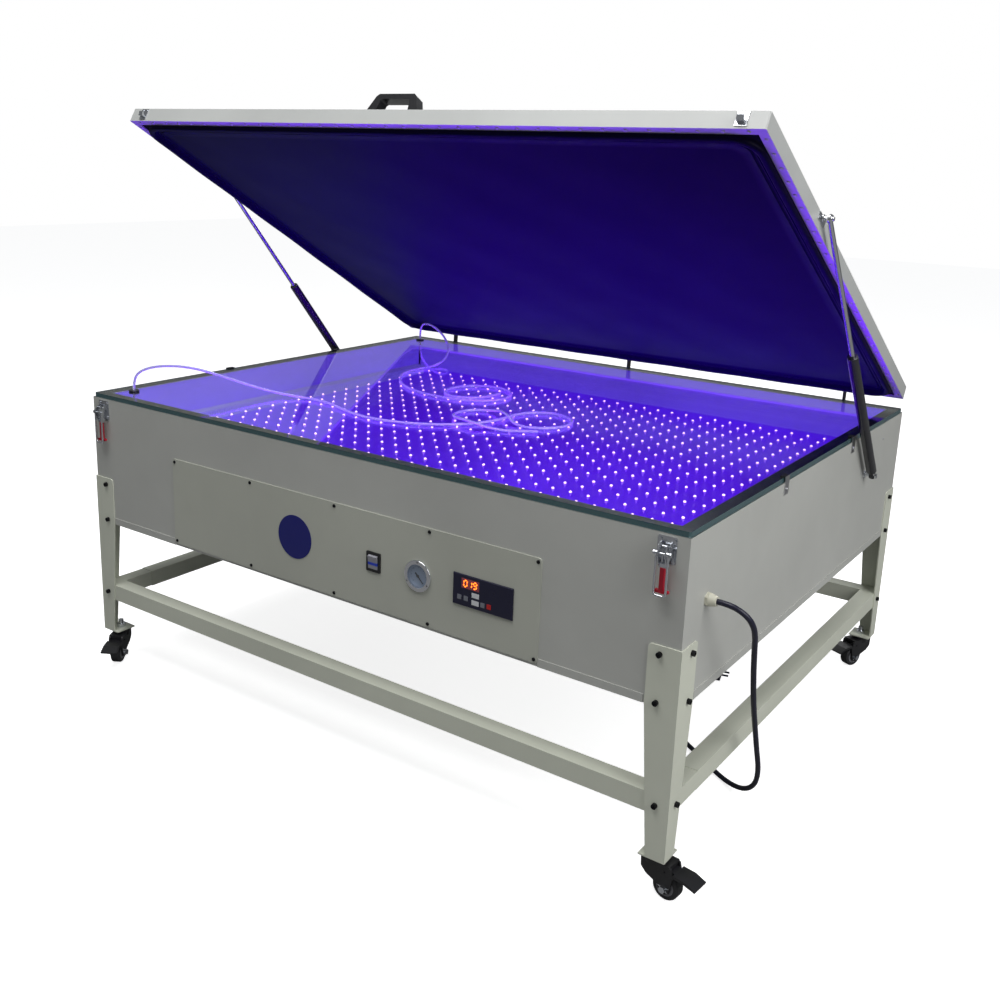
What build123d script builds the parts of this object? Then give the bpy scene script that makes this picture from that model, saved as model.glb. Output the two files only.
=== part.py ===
from build123d import *
import math
import os

# Screen printing exposure unit with its lid open. Millimetres, +X right, +Y back, +Z up.
# The origin is on the floor, under the middle of the cabinet.

# cabinet
box_width = 1500.0
box_depth = 1200.0
box_height = 298.0
wall_sheet = 2.0
flange_width = 30.0
tray_sheet = 1.5
strip_height = 14.0
glass_thickness = 9.5
glass_inset = 2.5
board_drop = 95.0
board_sheet = 1.5

# legs and rails
leg_height = 386.0
leg_lap = 108.0
leg_sheet = 2.5
leg_top_width = 60.0
leg_foot_width = 37.0
leg_corner_radius = 7.0
base_plate_size = 50.0
base_plate_sheet = 3.0
rail_height = 38.0
rail_depth = 36.0
rail_wall = 1.5
rail_lift = 81.0
rail_stub_length = 78.0
rail_stub_step = 1.2

# bolts
bolt_diameter = 6.0
bolt_head_diameter = 10.0
bolt_head_height = 6.0
bolt_hole_diameter = 6.2
bolt_nut_height = 5.0
bolt_inset = 36.0
rail_bolt_inset = 23.0
upper_bolt_drop = 15.0
lower_bolt_lift = 7.0

# casters
caster_height = 77.0
stem_inset = 25.0
stem_diameter = 12.0
wheel_diameter = 50.0
wheel_width = 22.0
wheel_trail = 27.0
hub_diameter = 33.0
axle_diameter = 8.0
cheek_gap = 26.0
cheek_sheet = 4.0
fork_plate_drop = 15.0
caster_headings = {
    "front_left": -58.0,
    "front_right": -5.0,
    "rear_left": 135.0,
    "rear_right": -115.0,
}

# control panel on the front
panel_left = -476.0
panel_right = 483.0
panel_top_drop = 98.0
panel_bottom_drop = 294.0
panel_sheet = 2.0
panel_lap = 16.0
panel_screw_inset = 7.0
panel_screw_columns = 5
badge_x = -104.0
badge_drop = 194.0
badge_diameter = 92.0
badge_sheet = 0.8
switch_x = 106.5
switch_drop = 196.0
switch_width = 35.0
switch_height = 40.0
switch_bezel = 2.5
rocker_width = 22.0
rocker_radius = 14.5
rocker_depth = 4.0
rocker_tilt = 9.0
gauge_x = 215.0
gauge_drop = 197.0
gauge_flange_diameter = 62.0
gauge_case_diameter = 54.0
gauge_dial_diameter = 46.0
gauge_case_depth = 24.0
needle_angle = -45.0
timer_left = 298.0
timer_right = 429.0
timer_top_drop = 167.0
timer_bottom_drop = 227.0
timer_bezel = 3.0
timer_case_depth = 35.0

# lamps and wiring
lamp_columns = 32
lamp_rows = 23
lamp_pitch_x = 41.0
lamp_pitch_y = 47.3
lamp_diameter = 6.0
lamp_lead_diameter = 2.4
lamp_lead_height = 5.0
lamp_barrel_height = 3.0
duct_side_inset = 66.0
duct_width = 30.0
duct_height = 25.0
duct_wall = 1.5
duct_slot = 4.0
duct_pitch = 8.0
duct_front_inset = 12.0
duct_rear_inset = 82.0

# lid
lid_overhang = 4.0
lid_setback = 5.0
lid_height = 31.0
lid_gap = 12.0
lid_sheet = 1.5
lid_open_angle = 29.3
hinge_y_behind = 14.0
hinge_rise = 64.0
hinge_pin_diameter = 8.0
hinge_columns = (-604.0, 0.0, 604.0)
hinge_plate = 4.0
hinge_eye_radius = 9.0
clamp_width = 17.0
clamp_sheet = 2.0
clamp_screw_pitch = 43.0
clamp_screw_inset = 9.0
clamp_screw_diameter = 4.0
blanket_sheet = 2.0
bead_width = 14.0
bead_height = 9.5
bead_corner_radius = 55.0
bead_edge_radius = 4.5
ridge_width = 1.6
ridge_height = 1.2
ridge_offsets = (38.0, 46.0)
handle_width = 122.0
handle_height = 38.0
handle_depth = 22.0
handle_bar = 11.0
handle_foot = 26.0
handle_setback = 17.0

# gas struts
strut_offset = 18.0
strut_low_y = 330.0
strut_low_drop = 97.0
strut_high_y = -162.0
strut_high_rise = 479.0
strut_body_diameter = 22.0
strut_rod_diameter = 10.0
strut_body_length = 397.0
strut_chamber_diameter = 18.0
strut_eye_diameter = 17.0
strut_stud_diameter = 8.0

# toggle latches
latch_inset = 39.0
latch_plate_width = 34.0
latch_plate_height = 45.0
latch_plate_sheet = 1.6
latch_pivot_drop = 19.0
latch_pivot_out = 9.0
bail_pivot_drop = 29.0
bail_pivot_out = 17.0
bail_wire = 4.0
bail_width = 21.0
bail_length = 73.0
lever_length = 82.0
grip_length = 45.0
grip_width = 9.0
grip_foot_width = 25.0

# vacuum hoses on the glass
hose_diameter = 6.0
hose_bore = 3.6
grommet_side_inset = 59.0
grommet_front_inset = 69.0
grommet_rear_inset = 57.0
grommet_diameter = 24.0
grommet_rise = 3.5
glass_hole_diameter = 14.0

# power cord
cord_diameter = 10.0
gland_inset = 85.0
gland_drop = 127.0
gland_length = 18.0
gland_diameter = 23.0
coil_turns = 3
coil_mean_radius = 55.0
coil_gap = 0.6
coil_x = 330.0
coil_y = 190.0
coil_entry_angle = 233.0
coil_tail_turn = 50.0
coil_tail_radius = 50.0
plug_length = 46.0

# clearances
soft_clearance = 0.3
running_clearance = 0.1
joint_clearance = 0.3

# places worked out from the sizes above
half_width = box_width / 2
half_depth = box_depth / 2
lid_width = box_width + 2 * lid_overhang
lid_depth = box_depth - 2 * lid_setback
strut_x = half_width + strut_offset
latch_x = half_width - latch_inset
grommet_x = grommet_side_inset - half_width
grommet_front_y = grommet_front_inset - half_depth
grommet_rear_y = half_depth - grommet_rear_inset
gland_y = gland_inset - half_depth
duct_left = duct_side_inset - half_width
duct_front = duct_front_inset - half_depth
duct_rear = half_depth - duct_rear_inset
leg_foot_z = caster_height + base_plate_sheet
leg_top_z = leg_foot_z + leg_height
box_bottom = leg_top_z - leg_lap
box_top = box_bottom + box_height
glass_top = box_top + glass_thickness
board_top = box_top - board_drop
rail_bottom = leg_foot_z + rail_lift
rail_top = rail_bottom + rail_height
stem_x = half_width - stem_inset
stem_y = half_depth - stem_inset
hinge_y = half_depth + hinge_y_behind
hinge_z = box_top + hinge_rise
lid_bottom = glass_top + lid_gap
lid_top = lid_bottom + lid_height
lid_half_width = lid_width / 2
lid_half_depth = lid_depth / 2
lid_side_clearance = strut_x - lid_half_width
blanket_bottom = lid_bottom + clamp_sheet
blanket_top = blanket_bottom + blanket_sheet
panel_face = -half_depth - panel_sheet
panel_top = box_top - panel_top_drop
panel_bottom = box_top - panel_bottom_drop
switch_z = box_top - switch_drop
gauge_z = box_top - gauge_drop
timer_top = box_top - timer_top_drop
timer_bottom = box_top - timer_bottom_drop
gland_z = box_top - gland_drop
gland_tip_x = half_width + gland_length
strut_low_z = box_top - strut_low_drop
strut_high_z = box_top + strut_high_rise
hose_z = glass_top + hose_diameter / 2 + soft_clearance
cord_z = cord_diameter / 2 + soft_clearance
coil_pitch = cord_diameter + coil_gap
corners = {
    "front_left": (-1, -1),
    "front_right": (1, -1),
    "rear_left": (-1, 1),
    "rear_right": (1, 1),
}


def block(x0, x1, y0, y1, z0, z1):
    """A box from its six faces."""
    size = Box(x1 - x0, y1 - y0, z1 - z0)
    return Pos((x0 + x1) / 2, (y0 + y1) / 2, (z0 + z1) / 2) * size


def rod_x(x0, x1, y, z, diameter):
    """A cylinder along X."""
    turned = Rot(0, 90, 0) * Cylinder(diameter / 2, x1 - x0)
    return Pos((x0 + x1) / 2, y, z) * turned


def rod_y(y0, y1, x, z, diameter):
    """A cylinder along Y."""
    turned = Rot(90, 0, 0) * Cylinder(diameter / 2, y1 - y0)
    return Pos(x, (y0 + y1) / 2, z) * turned


def rod_z(z0, z1, x, y, diameter):
    """A cylinder along Z."""
    return Pos(x, y, (z0 + z1) / 2) * Cylinder(diameter / 2, z1 - z0)


def plate_yz(points, x0, x1):
    """A flat plate whose outline lies in the YZ plane."""
    outline = Plane.YZ * make_face(Polyline(points, close=True))
    return Pos(x0, 0, 0) * extrude(outline, x1 - x0, dir=(1, 0, 0))


def plate_xz(points, y0, y1):
    """A flat plate whose outline lies in the XZ plane."""
    flipped = Plane(origin=(0, 0, 0), x_dir=(1, 0, 0), z_dir=(0, -1, 0))
    outline = flipped * make_face(Polyline(points, close=True))
    return Pos(0, y0, 0) * extrude(outline, y1 - y0, dir=(0, 1, 0))


def ring_face(outer_offset, width, outer_radius):
    """A rounded rectangular ring, offset inwards from the lid's edge."""
    outer_x = lid_width - 2 * outer_offset
    outer_y = lid_depth - 2 * outer_offset
    inner_radius = max(outer_radius - width, 1.0)
    outer = RectangleRounded(outer_x, outer_y, outer_radius)
    inner = RectangleRounded(outer_x - 2 * width, outer_y - 2 * width, inner_radius)
    return outer - inner


def mirrored(shape):
    """The same piece on the left side."""
    return mirror(shape, about=Plane.YZ)


def opened(shape):
    """Turns a piece of the closed lid to the open lid."""
    return shape.rotate(Axis((0, hinge_y, hinge_z), (1, 0, 0)), -lid_open_angle)


def closed_point(y, z):
    """Where a point of the open lid is when the lid is closed."""
    angle = math.radians(lid_open_angle)
    dy = y - hinge_y
    dz = z - hinge_z
    turned_y = dy * math.cos(angle) - dz * math.sin(angle)
    turned_z = dy * math.sin(angle) + dz * math.cos(angle)
    return hinge_y + turned_y, hinge_z + turned_z


def save(node, *solids):
    """Writes one sub-part, as one solid or a group of solids."""
    shapes = []
    for solid in solids:
        shapes.extend(solid.solids())
    part = shapes[0] if len(shapes) == 1 else Compound(children=shapes)
    export_step(part, "parts/" + node + ".step")


# ---------------------------------------------------------------- cabinet

def bolt_places():
    """Middle of each bolt's seat on a leg: place, outward direction, what it passes."""
    places = []
    heights = (leg_top_z - upper_bolt_drop, box_bottom + lower_bolt_lift)
    rail_height_z = rail_bottom + rail_height / 2
    for side_x, side_y in corners.values():
        for z in heights:
            across = side_x * (half_width - bolt_inset)
            places.append((across, side_y * (half_depth + leg_sheet), z, 0, side_y, wall_sheet))
            along = side_y * (half_depth - bolt_inset)
            places.append((side_x * (half_width + leg_sheet), along, z, side_x, 0, wall_sheet))
        across = side_x * (half_width - rail_bolt_inset)
        places.append((across, side_y * (half_depth + leg_sheet), rail_height_z, 0, side_y, rail_wall))
        along = side_y * (half_depth - rail_bolt_inset)
        places.append((side_x * (half_width + leg_sheet), along, rail_height_z, side_x, 0, rail_wall))
    return places


def bolt_holes():
    """Cutters for every bolt hole of the legs, walls and rails."""
    reach = leg_sheet + wall_sheet + bolt_nut_height
    cutters = []
    for x, y, z, out_x, out_y, _ in bolt_places():
        if out_x:
            cutters.append(rod_x(min(x, x - out_x * reach), max(x, x - out_x * reach), y, z, bolt_hole_diameter))
        else:
            cutters.append(rod_y(min(y, y - out_y * reach), max(y, y - out_y * reach), x, z, bolt_hole_diameter))
    return cutters


def panel_bounds():
    return panel_left, panel_right, panel_bottom, panel_top


def front_wall():
    left, right, bottom, top = panel_bounds()
    sheet = block(-half_width, half_width, -half_depth, -half_depth + wall_sheet, box_bottom, box_top)
    flange = block(-half_width, half_width, -half_depth, -half_depth + flange_width, box_top - wall_sheet, box_top)
    opening = block(
        left + panel_lap,
        right - panel_lap,
        -half_depth - wall_sheet,
        -half_depth + 2 * wall_sheet,
        bottom + panel_lap,
        top - panel_lap,
    )
    return sheet + flange - opening


def rear_wall():
    sheet = block(-half_width, half_width, half_depth - wall_sheet, half_depth, box_bottom, box_top)
    flange = block(-half_width, half_width, half_depth - flange_width, half_depth, box_top - wall_sheet, box_top)
    return sheet + flange


def right_wall():
    inner = half_depth - wall_sheet
    sheet = block(half_width - wall_sheet, half_width, -inner, inner, box_bottom, box_top)
    flange_end = half_depth - flange_width
    flange = block(half_width - flange_width, half_width, -flange_end, flange_end, box_top - wall_sheet, box_top)
    notch_low = block(half_width - wall_sheet, half_width, flange_end, inner, box_top - wall_sheet, box_top)
    notch_front = block(half_width - wall_sheet, half_width, -inner, -flange_end, box_top - wall_sheet, box_top)
    sight_hole = rod_x(half_width - 2 * wall_sheet, half_width + wall_sheet, half_depth - 145.0, box_top - 40.0, 4.0)
    return sheet + flange - notch_low - notch_front - sight_hole


def cabinet_walls():
    cutters = bolt_holes()
    gland_hole = rod_x(half_width - 2 * wall_sheet, half_width + wall_sheet, gland_y, gland_z, gland_thread_diameter())
    right = right_wall() - cutters
    left = mirrored(right_wall()) - cutters
    save("cabinet_walls", front_wall() - cutters, rear_wall() - cutters, left, right - gland_hole)


def bottom_tray():
    """Sheet under the box with an upturned strip that laps the walls between the legs."""
    outer_x = half_width + tray_sheet
    outer_y = half_depth + tray_sheet
    floor = block(-half_width, half_width, -half_depth, half_depth, box_bottom - tray_sheet, box_bottom)
    leg_edge_x = half_width - leg_top_width - 1.0
    leg_edge_y = half_depth - leg_top_width - 1.0
    low = box_bottom - tray_sheet
    high = box_bottom + strip_height
    gap = 0.5
    front_left = block(-leg_edge_x, panel_left - gap, -outer_y, -half_depth, low, high)
    front_right = block(panel_right + gap, leg_edge_x, -outer_y, -half_depth, low, high)
    rear = block(-leg_edge_x, leg_edge_x, half_depth, outer_y, low, high)
    right = block(half_width, outer_x, -leg_edge_y, leg_edge_y, low, high)
    left = block(-outer_x, -half_width, -leg_edge_y, leg_edge_y, low, high)
    save("bottom_tray", floor + front_left + front_right + rear + right + left)


def control_panel():
    left, right, bottom, top = panel_bounds()
    plate = block(left, right, panel_face, -half_depth, bottom, top)
    plate = fillet(plate.edges().filter_by(Axis.Y), 6.0)
    plate -= block(
        switch_x - switch_width / 2 + 2.0,
        switch_x + switch_width / 2 - 2.0,
        panel_face - 1.0,
        -half_depth + 1.0,
        switch_z - switch_height / 2 + 2.0,
        switch_z + switch_height / 2 - 2.0,
    )
    plate -= rod_y(panel_face - 1.0, -half_depth + 1.0, gauge_x, gauge_z, gauge_case_diameter + 2 * joint_clearance)
    plate -= block(
        timer_left + 4.0,
        timer_right - 4.0,
        panel_face - 1.0,
        -half_depth + 1.0,
        timer_bottom + 4.0,
        timer_top - 4.0,
    )
    for x, z in panel_screw_places():
        plate -= rod_y(panel_face - 1.0, -half_depth + 1.0, x, z, 4.0)
    badge = rod_y(panel_face - badge_sheet, panel_face, badge_x, box_top - badge_drop, badge_diameter)
    save("control_panel", plate, badge)


def panel_screw_places():
    span = panel_right - panel_left - 2 * panel_screw_inset
    places = []
    for column in range(panel_screw_columns):
        x = panel_left + panel_screw_inset + span * column / (panel_screw_columns - 1)
        places.append((x, panel_top - panel_screw_inset))
        places.append((x, panel_bottom + panel_screw_inset))
    return places


def panel_screw(x, z):
    head = rod_y(panel_face - 2.0, panel_face, x, z, 7.0)
    head = fillet(head.faces().sort_by(Axis.Y)[0].edges(), 1.2)
    shank = rod_y(panel_face, -half_depth, x, z, 3.9)
    slot = rod_y(panel_face - 2.0, panel_face - 1.0, x, z, 2.2)
    return head + shank - slot


def glass_plate():
    edge_x = half_width - glass_inset
    edge_y = half_depth - glass_inset
    plate = block(-edge_x, edge_x, -edge_y, edge_y, box_top, glass_top)
    plate = chamfer(plate.edges().filter_by(Axis.Z), 3.0)
    for y in (grommet_front_y, grommet_rear_y):
        plate -= rod_z(box_top - 1.0, glass_top + 1.0, grommet_x, y, glass_hole_diameter)
    save("glass_plate", plate)


def glass_clip(y):
    """Angle clip over the glass edge, with its pad and screw, on the right side."""
    clip_sheet = 1.6
    clip_length = 20.0
    reach = 10.0
    pad_height = 1.4
    inner_x = half_width - reach
    outer_x = half_width + clip_sheet
    top = glass_top + pad_height
    front = y - clip_length / 2
    back = y + clip_length / 2
    over = block(inner_x, outer_x, front, back, top, top + clip_sheet)
    down = block(half_width, outer_x, front, back, box_top - 24.0, top)
    pad = block(inner_x, half_width - glass_inset, front + 1.0, back - 1.0, glass_top, top)
    screw = rod_x(outer_x, outer_x + 2.2, y, box_top - 14.0, 8.0)
    screw = fillet(screw.faces().sort_by(Axis.X)[-1].edges(), 1.4)
    return [over + down, pad, screw]


def glass_clips():
    solids = []
    for y in (-185.0, 215.0):
        right = glass_clip(y)
        solids.extend(right)
        solids.extend([mirrored(piece) for piece in right])
    save("glass_clips", *solids)


def led_board():
    edge_x = half_width - wall_sheet
    edge_y = half_depth - wall_sheet
    sheet = block(-edge_x, edge_x, -edge_y, edge_y, board_top - board_sheet, board_top)
    for y in (grommet_front_y, grommet_rear_y):
        sheet -= rod_z(board_top - 3.0, board_top + 1.0, grommet_x, y, hose_diameter + 2 * joint_clearance)
    save("led_board", sheet)


def lamp():
    """One upright lamp: leads, barrel and domed lens, turned about its own axis."""
    lead = lamp_lead_diameter / 2
    radius = lamp_diameter / 2
    barrel = lamp_lead_height + lamp_barrel_height
    side = Polyline((0, 0), (lead, 0), (lead, lamp_lead_height), (radius, lamp_lead_height), (radius, barrel))
    dome = CenterArc((0, barrel), radius, 0, 90)
    axis_line = Line((0, barrel + radius), (0, 0))
    outline = Plane.XZ * make_face(side + dome + axis_line)
    return revolve(outline, Axis.Z)


def led_lamps():
    one = lamp()
    first_x = -lamp_pitch_x * (lamp_columns - 1) / 2
    first_y = -lamp_pitch_y * (lamp_rows - 1) / 2
    solids = []
    for column in range(lamp_columns):
        for row in range(lamp_rows):
            place = Pos(first_x + column * lamp_pitch_x, first_y + row * lamp_pitch_y, board_top)
            solids.append(place * one)
    save("led_lamps", *solids)


def wiring_duct():
    """Slotted wiring duct with its cover."""
    right = duct_left + duct_width
    body = block(duct_left, right, duct_front, duct_rear, board_top, board_top + duct_height)
    body -= block(
        duct_left + duct_wall,
        right - duct_wall,
        duct_front + duct_wall,
        duct_rear - duct_wall,
        board_top + duct_wall,
        board_top + duct_height - duct_wall,
    )
    count = int((duct_rear - duct_front - 2 * duct_pitch) / duct_pitch)
    slots = []
    for index in range(count):
        y = duct_front + duct_pitch * (index + 1)
        low = board_top + 6.0
        high = board_top + duct_height - 4.0
        slots.append(block(duct_left - 1.0, right + 1.0, y, y + duct_slot, low, high))
    save("wiring_duct", body - slots)


def vacuum_pump():
    """Pump, its motor and the pipe that joins both hose stubs."""
    pipe_z = pump_pipe_z()
    pipe_diameter = 20.0
    base = block(grommet_x - 45.0, grommet_x + 145.0, -70.0, 70.0, box_bottom, box_bottom + 10.0)
    head = block(grommet_x - 40.0, grommet_x + 40.0, -50.0, 50.0, box_bottom + 10.0, pipe_z + 12.0)
    motor = rod_x(grommet_x + 40.0, grommet_x + 140.0, 0.0, box_bottom + 55.0, 84.0)
    foot = block(grommet_x + 60.0, grommet_x + 120.0, -30.0, 30.0, box_bottom + 10.0, box_bottom + 40.0)
    body = base + head + motor + foot
    front_pipe = rod_y(grommet_front_y - 15.0, -50.0, grommet_x, pipe_z, pipe_diameter)
    rear_pipe = rod_y(50.0, grommet_rear_y + 15.0, grommet_x, pipe_z, pipe_diameter)
    save("vacuum_pump", body + front_pipe + rear_pipe)


def pump_pipe_z():
    return box_bottom + 90.0


def power_supply():
    """Two lamp drivers in ribbed cases on the tray."""
    solids = []
    for x in (-250.0, 150.0):
        case = block(x, x + 240.0, -60.0, 60.0, box_bottom, box_bottom + 55.0)
        grooves = []
        for index in range(9):
            y = -54.0 + index * 12.0
            grooves.append(block(x + 10.0, x + 230.0, y, y + 6.0, box_bottom + 50.0, box_bottom + 56.0))
        solids.append(case - grooves)
    save("power_supply", *solids)


# ---------------------------------------------------------------- panel instruments

def switch_housing():
    half_w = switch_width / 2
    half_h = switch_height / 2
    front = panel_face - switch_bezel
    bezel = block(switch_x - half_w, switch_x + half_w, front, panel_face, switch_z - half_h, switch_z + half_h)
    bezel = fillet(bezel.edges().filter_by(Axis.Y), 2.0)
    body = block(
        switch_x - half_w + 2.5,
        switch_x + half_w - 2.5,
        panel_face,
        panel_face + 30.0,
        switch_z - half_h + 2.5,
        switch_z + half_h - 2.5,
    )
    cavity_half = rocker_width / 2 + joint_clearance
    cavity = rod_x(
        switch_x - cavity_half,
        switch_x + cavity_half,
        front + rocker_depth,
        switch_z,
        2 * (rocker_radius + joint_clearance),
    )
    pin_half = rocker_width / 2 + 2.0 + joint_clearance
    pin_hole = rod_x(switch_x - pin_half, switch_x + pin_half, front + rocker_depth, switch_z, 3.0 + 2 * running_clearance)
    save("switch_housing", bezel + body - cavity - pin_hole)


def switch_rocker():
    """Rocker with a shallow V face, pressed in at its lower end."""
    front = panel_face - switch_bezel
    pivot_y = front + rocker_depth
    half = rocker_width / 2
    barrel = rod_x(switch_x - half, switch_x + half, pivot_y, switch_z, 2 * rocker_radius)
    rise = rocker_radius * math.tan(math.radians(rocker_tilt))
    face_y = -rocker_depth - 2.0
    top = rocker_radius + 1.0
    outline = [
        (face_y - rise * 0.2, 0.0),
        (face_y - 2 * rise * 0.6, top),
        (20.0, top),
        (20.0, -top),
        (face_y + rise * 0.3, -top),
    ]
    keep = plate_yz([(pivot_y + y, switch_z + z) for y, z in outline], switch_x - half, switch_x + half)
    pin = rod_x(switch_x - half - 2.0, switch_x + half + 2.0, pivot_y, switch_z, 3.0)
    save("switch_rocker", (barrel & keep) + pin)


def vacuum_gauge():
    """Case with front flange, dial with plain marks and the needle's shaft."""
    flange_front = panel_face - 4.0
    flange = rod_y(flange_front, panel_face, gauge_x, gauge_z, gauge_flange_diameter)
    flange = fillet(flange.faces().sort_by(Axis.Y)[0].edges(), 1.5)
    case = rod_y(panel_face, panel_face + gauge_case_depth, gauge_x, gauge_z, gauge_case_diameter)
    cavity = rod_y(flange_front - 1.0, panel_face + 3.0, gauge_x, gauge_z, gauge_dial_diameter)
    body = flange + case - cavity
    for index in range(3):
        angle = math.radians(90.0 + 120.0 * index)
        radius = (gauge_flange_diameter + gauge_dial_diameter) / 4
        x = gauge_x + radius * math.cos(angle)
        z = gauge_z + radius * math.sin(angle)
        body -= rod_y(flange_front - 1.0, panel_face + 1.0, x, z, 3.2)
    dial = rod_y(panel_face + 2.0, panel_face + 3.0, gauge_x, gauge_z, gauge_dial_diameter)
    shaft = rod_y(panel_face - 1.6, panel_face + 2.0, gauge_x, gauge_z, 2.0)
    save("vacuum_gauge", body, dial + shaft)


def gauge_lens():
    front = panel_face - 3.4
    save("gauge_lens", rod_y(front, front + 1.4, gauge_x, gauge_z, gauge_dial_diameter))


def gauge_needle():
    """Tapered pointer with a round hub on the shaft."""
    back = panel_face - 0.6
    front = panel_face - 1.4
    angle = math.radians(needle_angle)
    along = (math.cos(angle), math.sin(angle))
    across = (-along[1], along[0])
    shape = ((-8.0, 1.6), (-8.0, -1.6), (18.5, -0.5), (18.5, 0.5))
    points = []
    for a, b in shape:
        x = gauge_x + a * along[0] + b * across[0]
        z = gauge_z + a * along[1] + b * across[1]
        points.append((x, z))
    pointer = plate_xz(points, front, back)
    hub = rod_y(front, back, gauge_x, gauge_z, 6.0)
    bore = rod_y(front - 1.0, back + 1.0, gauge_x, gauge_z, 2.0 + running_clearance)
    save("gauge_needle", pointer + hub - bore)


def timer_unit():
    """Timer with a raised frame, display window and six flat keys."""
    front = panel_face - timer_bezel
    bezel = block(timer_left, timer_right, front, panel_face, timer_bottom, timer_top)
    bezel = chamfer(bezel.faces().sort_by(Axis.Y)[0].edges(), 0.8)
    case = block(
        timer_left + 5.0,
        timer_right - 5.0,
        panel_face,
        panel_face + timer_case_depth,
        timer_bottom + 5.0,
        timer_top - 5.0,
    )
    window_left = timer_left + 11.0
    window_right = timer_left + 58.0
    window_top = timer_top - 5.0
    window_bottom = timer_top - 26.0
    window_depth = 1.0
    body = bezel + case
    body -= block(window_left, window_right, front, front + window_depth, window_bottom, window_top)
    window = block(window_left, window_right, front, front + window_depth, window_bottom, window_top)
    solids = [body, window]
    keys = (
        (15.5, 44.0, 9.0, 9.0),
        (30.0, 44.0, 9.0, 9.0),
        (51.0, 34.0, 16.0, 9.0),
        (51.0, 48.0, 16.0, 9.0),
        (67.0, 47.5, 9.0, 9.0),
        (81.0, 47.0, 9.0, 9.0),
    )
    for x, drop, width, height in keys:
        key_x = timer_left + x
        key_z = timer_top - drop
        half_w = width / 2
        half_h = height / 2
        solids.append(block(key_x - half_w, key_x + half_w, front - 0.6, front, key_z - half_h, key_z + half_h))
    save("timer_unit", *solids)


# ---------------------------------------------------------------- legs, rails, casters

def leg_outline():
    """Half of a folded leg, measured from its corner: full width at the box, then tapering."""
    return [
        (0.0, leg_foot_z),
        (leg_foot_width, leg_foot_z),
        (leg_top_width, box_bottom),
        (leg_top_width, leg_top_z),
        (0.0, leg_top_z),
    ]


def leg(side_x, side_y, cutters):
    outer_x = half_width + leg_sheet
    outer_y = half_depth + leg_sheet
    face_points = [(side_x * (outer_x - a), z) for a, z in leg_outline()]
    if side_y < 0:
        face = plate_xz(face_points, -outer_y, -half_depth)
    else:
        face = plate_xz(face_points, half_depth, outer_y)
    face_corner = Vector(side_x * (outer_x - leg_top_width), side_y * outer_y, leg_top_z)
    face = fillet(face.edges().filter_by(Axis.Y).sort_by_distance(face_corner)[0], leg_corner_radius)
    side_points = [(side_y * (outer_y - a), z) for a, z in leg_outline()]
    if side_x < 0:
        side = plate_yz(side_points, -outer_x, -half_width)
    else:
        side = plate_yz(side_points, half_width, outer_x)
    side_corner = Vector(side_x * outer_x, side_y * (outer_y - leg_top_width), leg_top_z)
    side = fillet(side.edges().filter_by(Axis.X).sort_by_distance(side_corner)[0], leg_corner_radius)
    inner_x = side_x * (outer_x - base_plate_size)
    inner_y = side_y * (outer_y - base_plate_size)
    foot = block(
        min(inner_x, side_x * outer_x),
        max(inner_x, side_x * outer_x),
        min(inner_y, side_y * outer_y),
        max(inner_y, side_y * outer_y),
        caster_height,
        leg_foot_z,
    )
    foot -= rod_z(caster_height - 1.0, leg_foot_z + 1.0, side_x * stem_x, side_y * stem_y, stem_diameter)
    return face + side + foot - cutters


def legs():
    cutters = bolt_holes()
    for name, (side_x, side_y) in corners.items():
        save("leg_" + name, leg(side_x, side_y, cutters))


def tube_box(x0, x1, y0, y1, z0, z1, along):
    """Square tube: along X with welded end plates, along Y with open ends."""
    outer = block(x0, x1, y0, y1, z0, z1)
    w = rail_wall
    if along == "x":
        return outer - block(x0 + w, x1 - w, y0 + w, y1 - w, z0 + w, z1 - w)
    return outer - block(x0 + w, x1 - w, y0 - w, y1 + w, z0 + w, z1 - w)


def rails():
    cutters = bolt_holes()
    inner_y = half_depth - rail_depth
    front = tube_box(-half_width, half_width, -half_depth, -inner_y, rail_bottom, rail_top, "x")
    rear = tube_box(-half_width, half_width, inner_y, half_depth, rail_bottom, rail_top, "x")
    inner_x = half_width - rail_depth
    stub_end = -inner_y + rail_stub_length
    side = tube_box(inner_x, half_width, stub_end, inner_y, rail_bottom, rail_top, "y")
    step = rail_stub_step
    stub = tube_box(
        inner_x + step,
        half_width,
        -inner_y,
        stub_end,
        rail_bottom + step,
        rail_top - step,
        "y",
    )
    side_rail = side + stub
    save("rail_front", front - cutters)
    save("rail_rear", rear - cutters)
    save("rail_right", side_rail - cutters)
    save("rail_left", mirrored(side_rail) - cutters)


def bolt(passes):
    """Socket-head bolt along +X from its seat at the origin, head outwards, with its nut."""
    head = rod_x(0.0, bolt_head_height, 0.0, 0.0, bolt_head_diameter)
    socket = Pos(bolt_head_height - 1.5, 0, 0) * (Rot(0, 90, 0) * extrude(RegularPolygon(2.9, 6), 3.0))
    inner = leg_sheet + passes
    shank = rod_x(-inner - bolt_nut_height - 0.5, 0.0, 0.0, 0.0, bolt_diameter)
    nut = Pos(-inner - bolt_nut_height, 0, 0) * (Rot(0, 90, 0) * extrude(RegularPolygon(5.8, 6), bolt_nut_height))
    return head - socket + shank + nut


def stem(x, y):
    """Caster stem: head under the fork's plate, shank through the leg's foot, nut on top."""
    plate_bottom = caster_height - fork_plate_drop
    head = rod_z(plate_bottom - joint_clearance - 3.0, plate_bottom - joint_clearance, x, y, 20.0)
    shank = rod_z(plate_bottom - joint_clearance, leg_foot_z + 18.0, x, y, stem_diameter)
    nut = Pos(x, y, leg_foot_z) * extrude(RegularPolygon(10.5, 6), 8.0)
    return head + shank + nut


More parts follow.
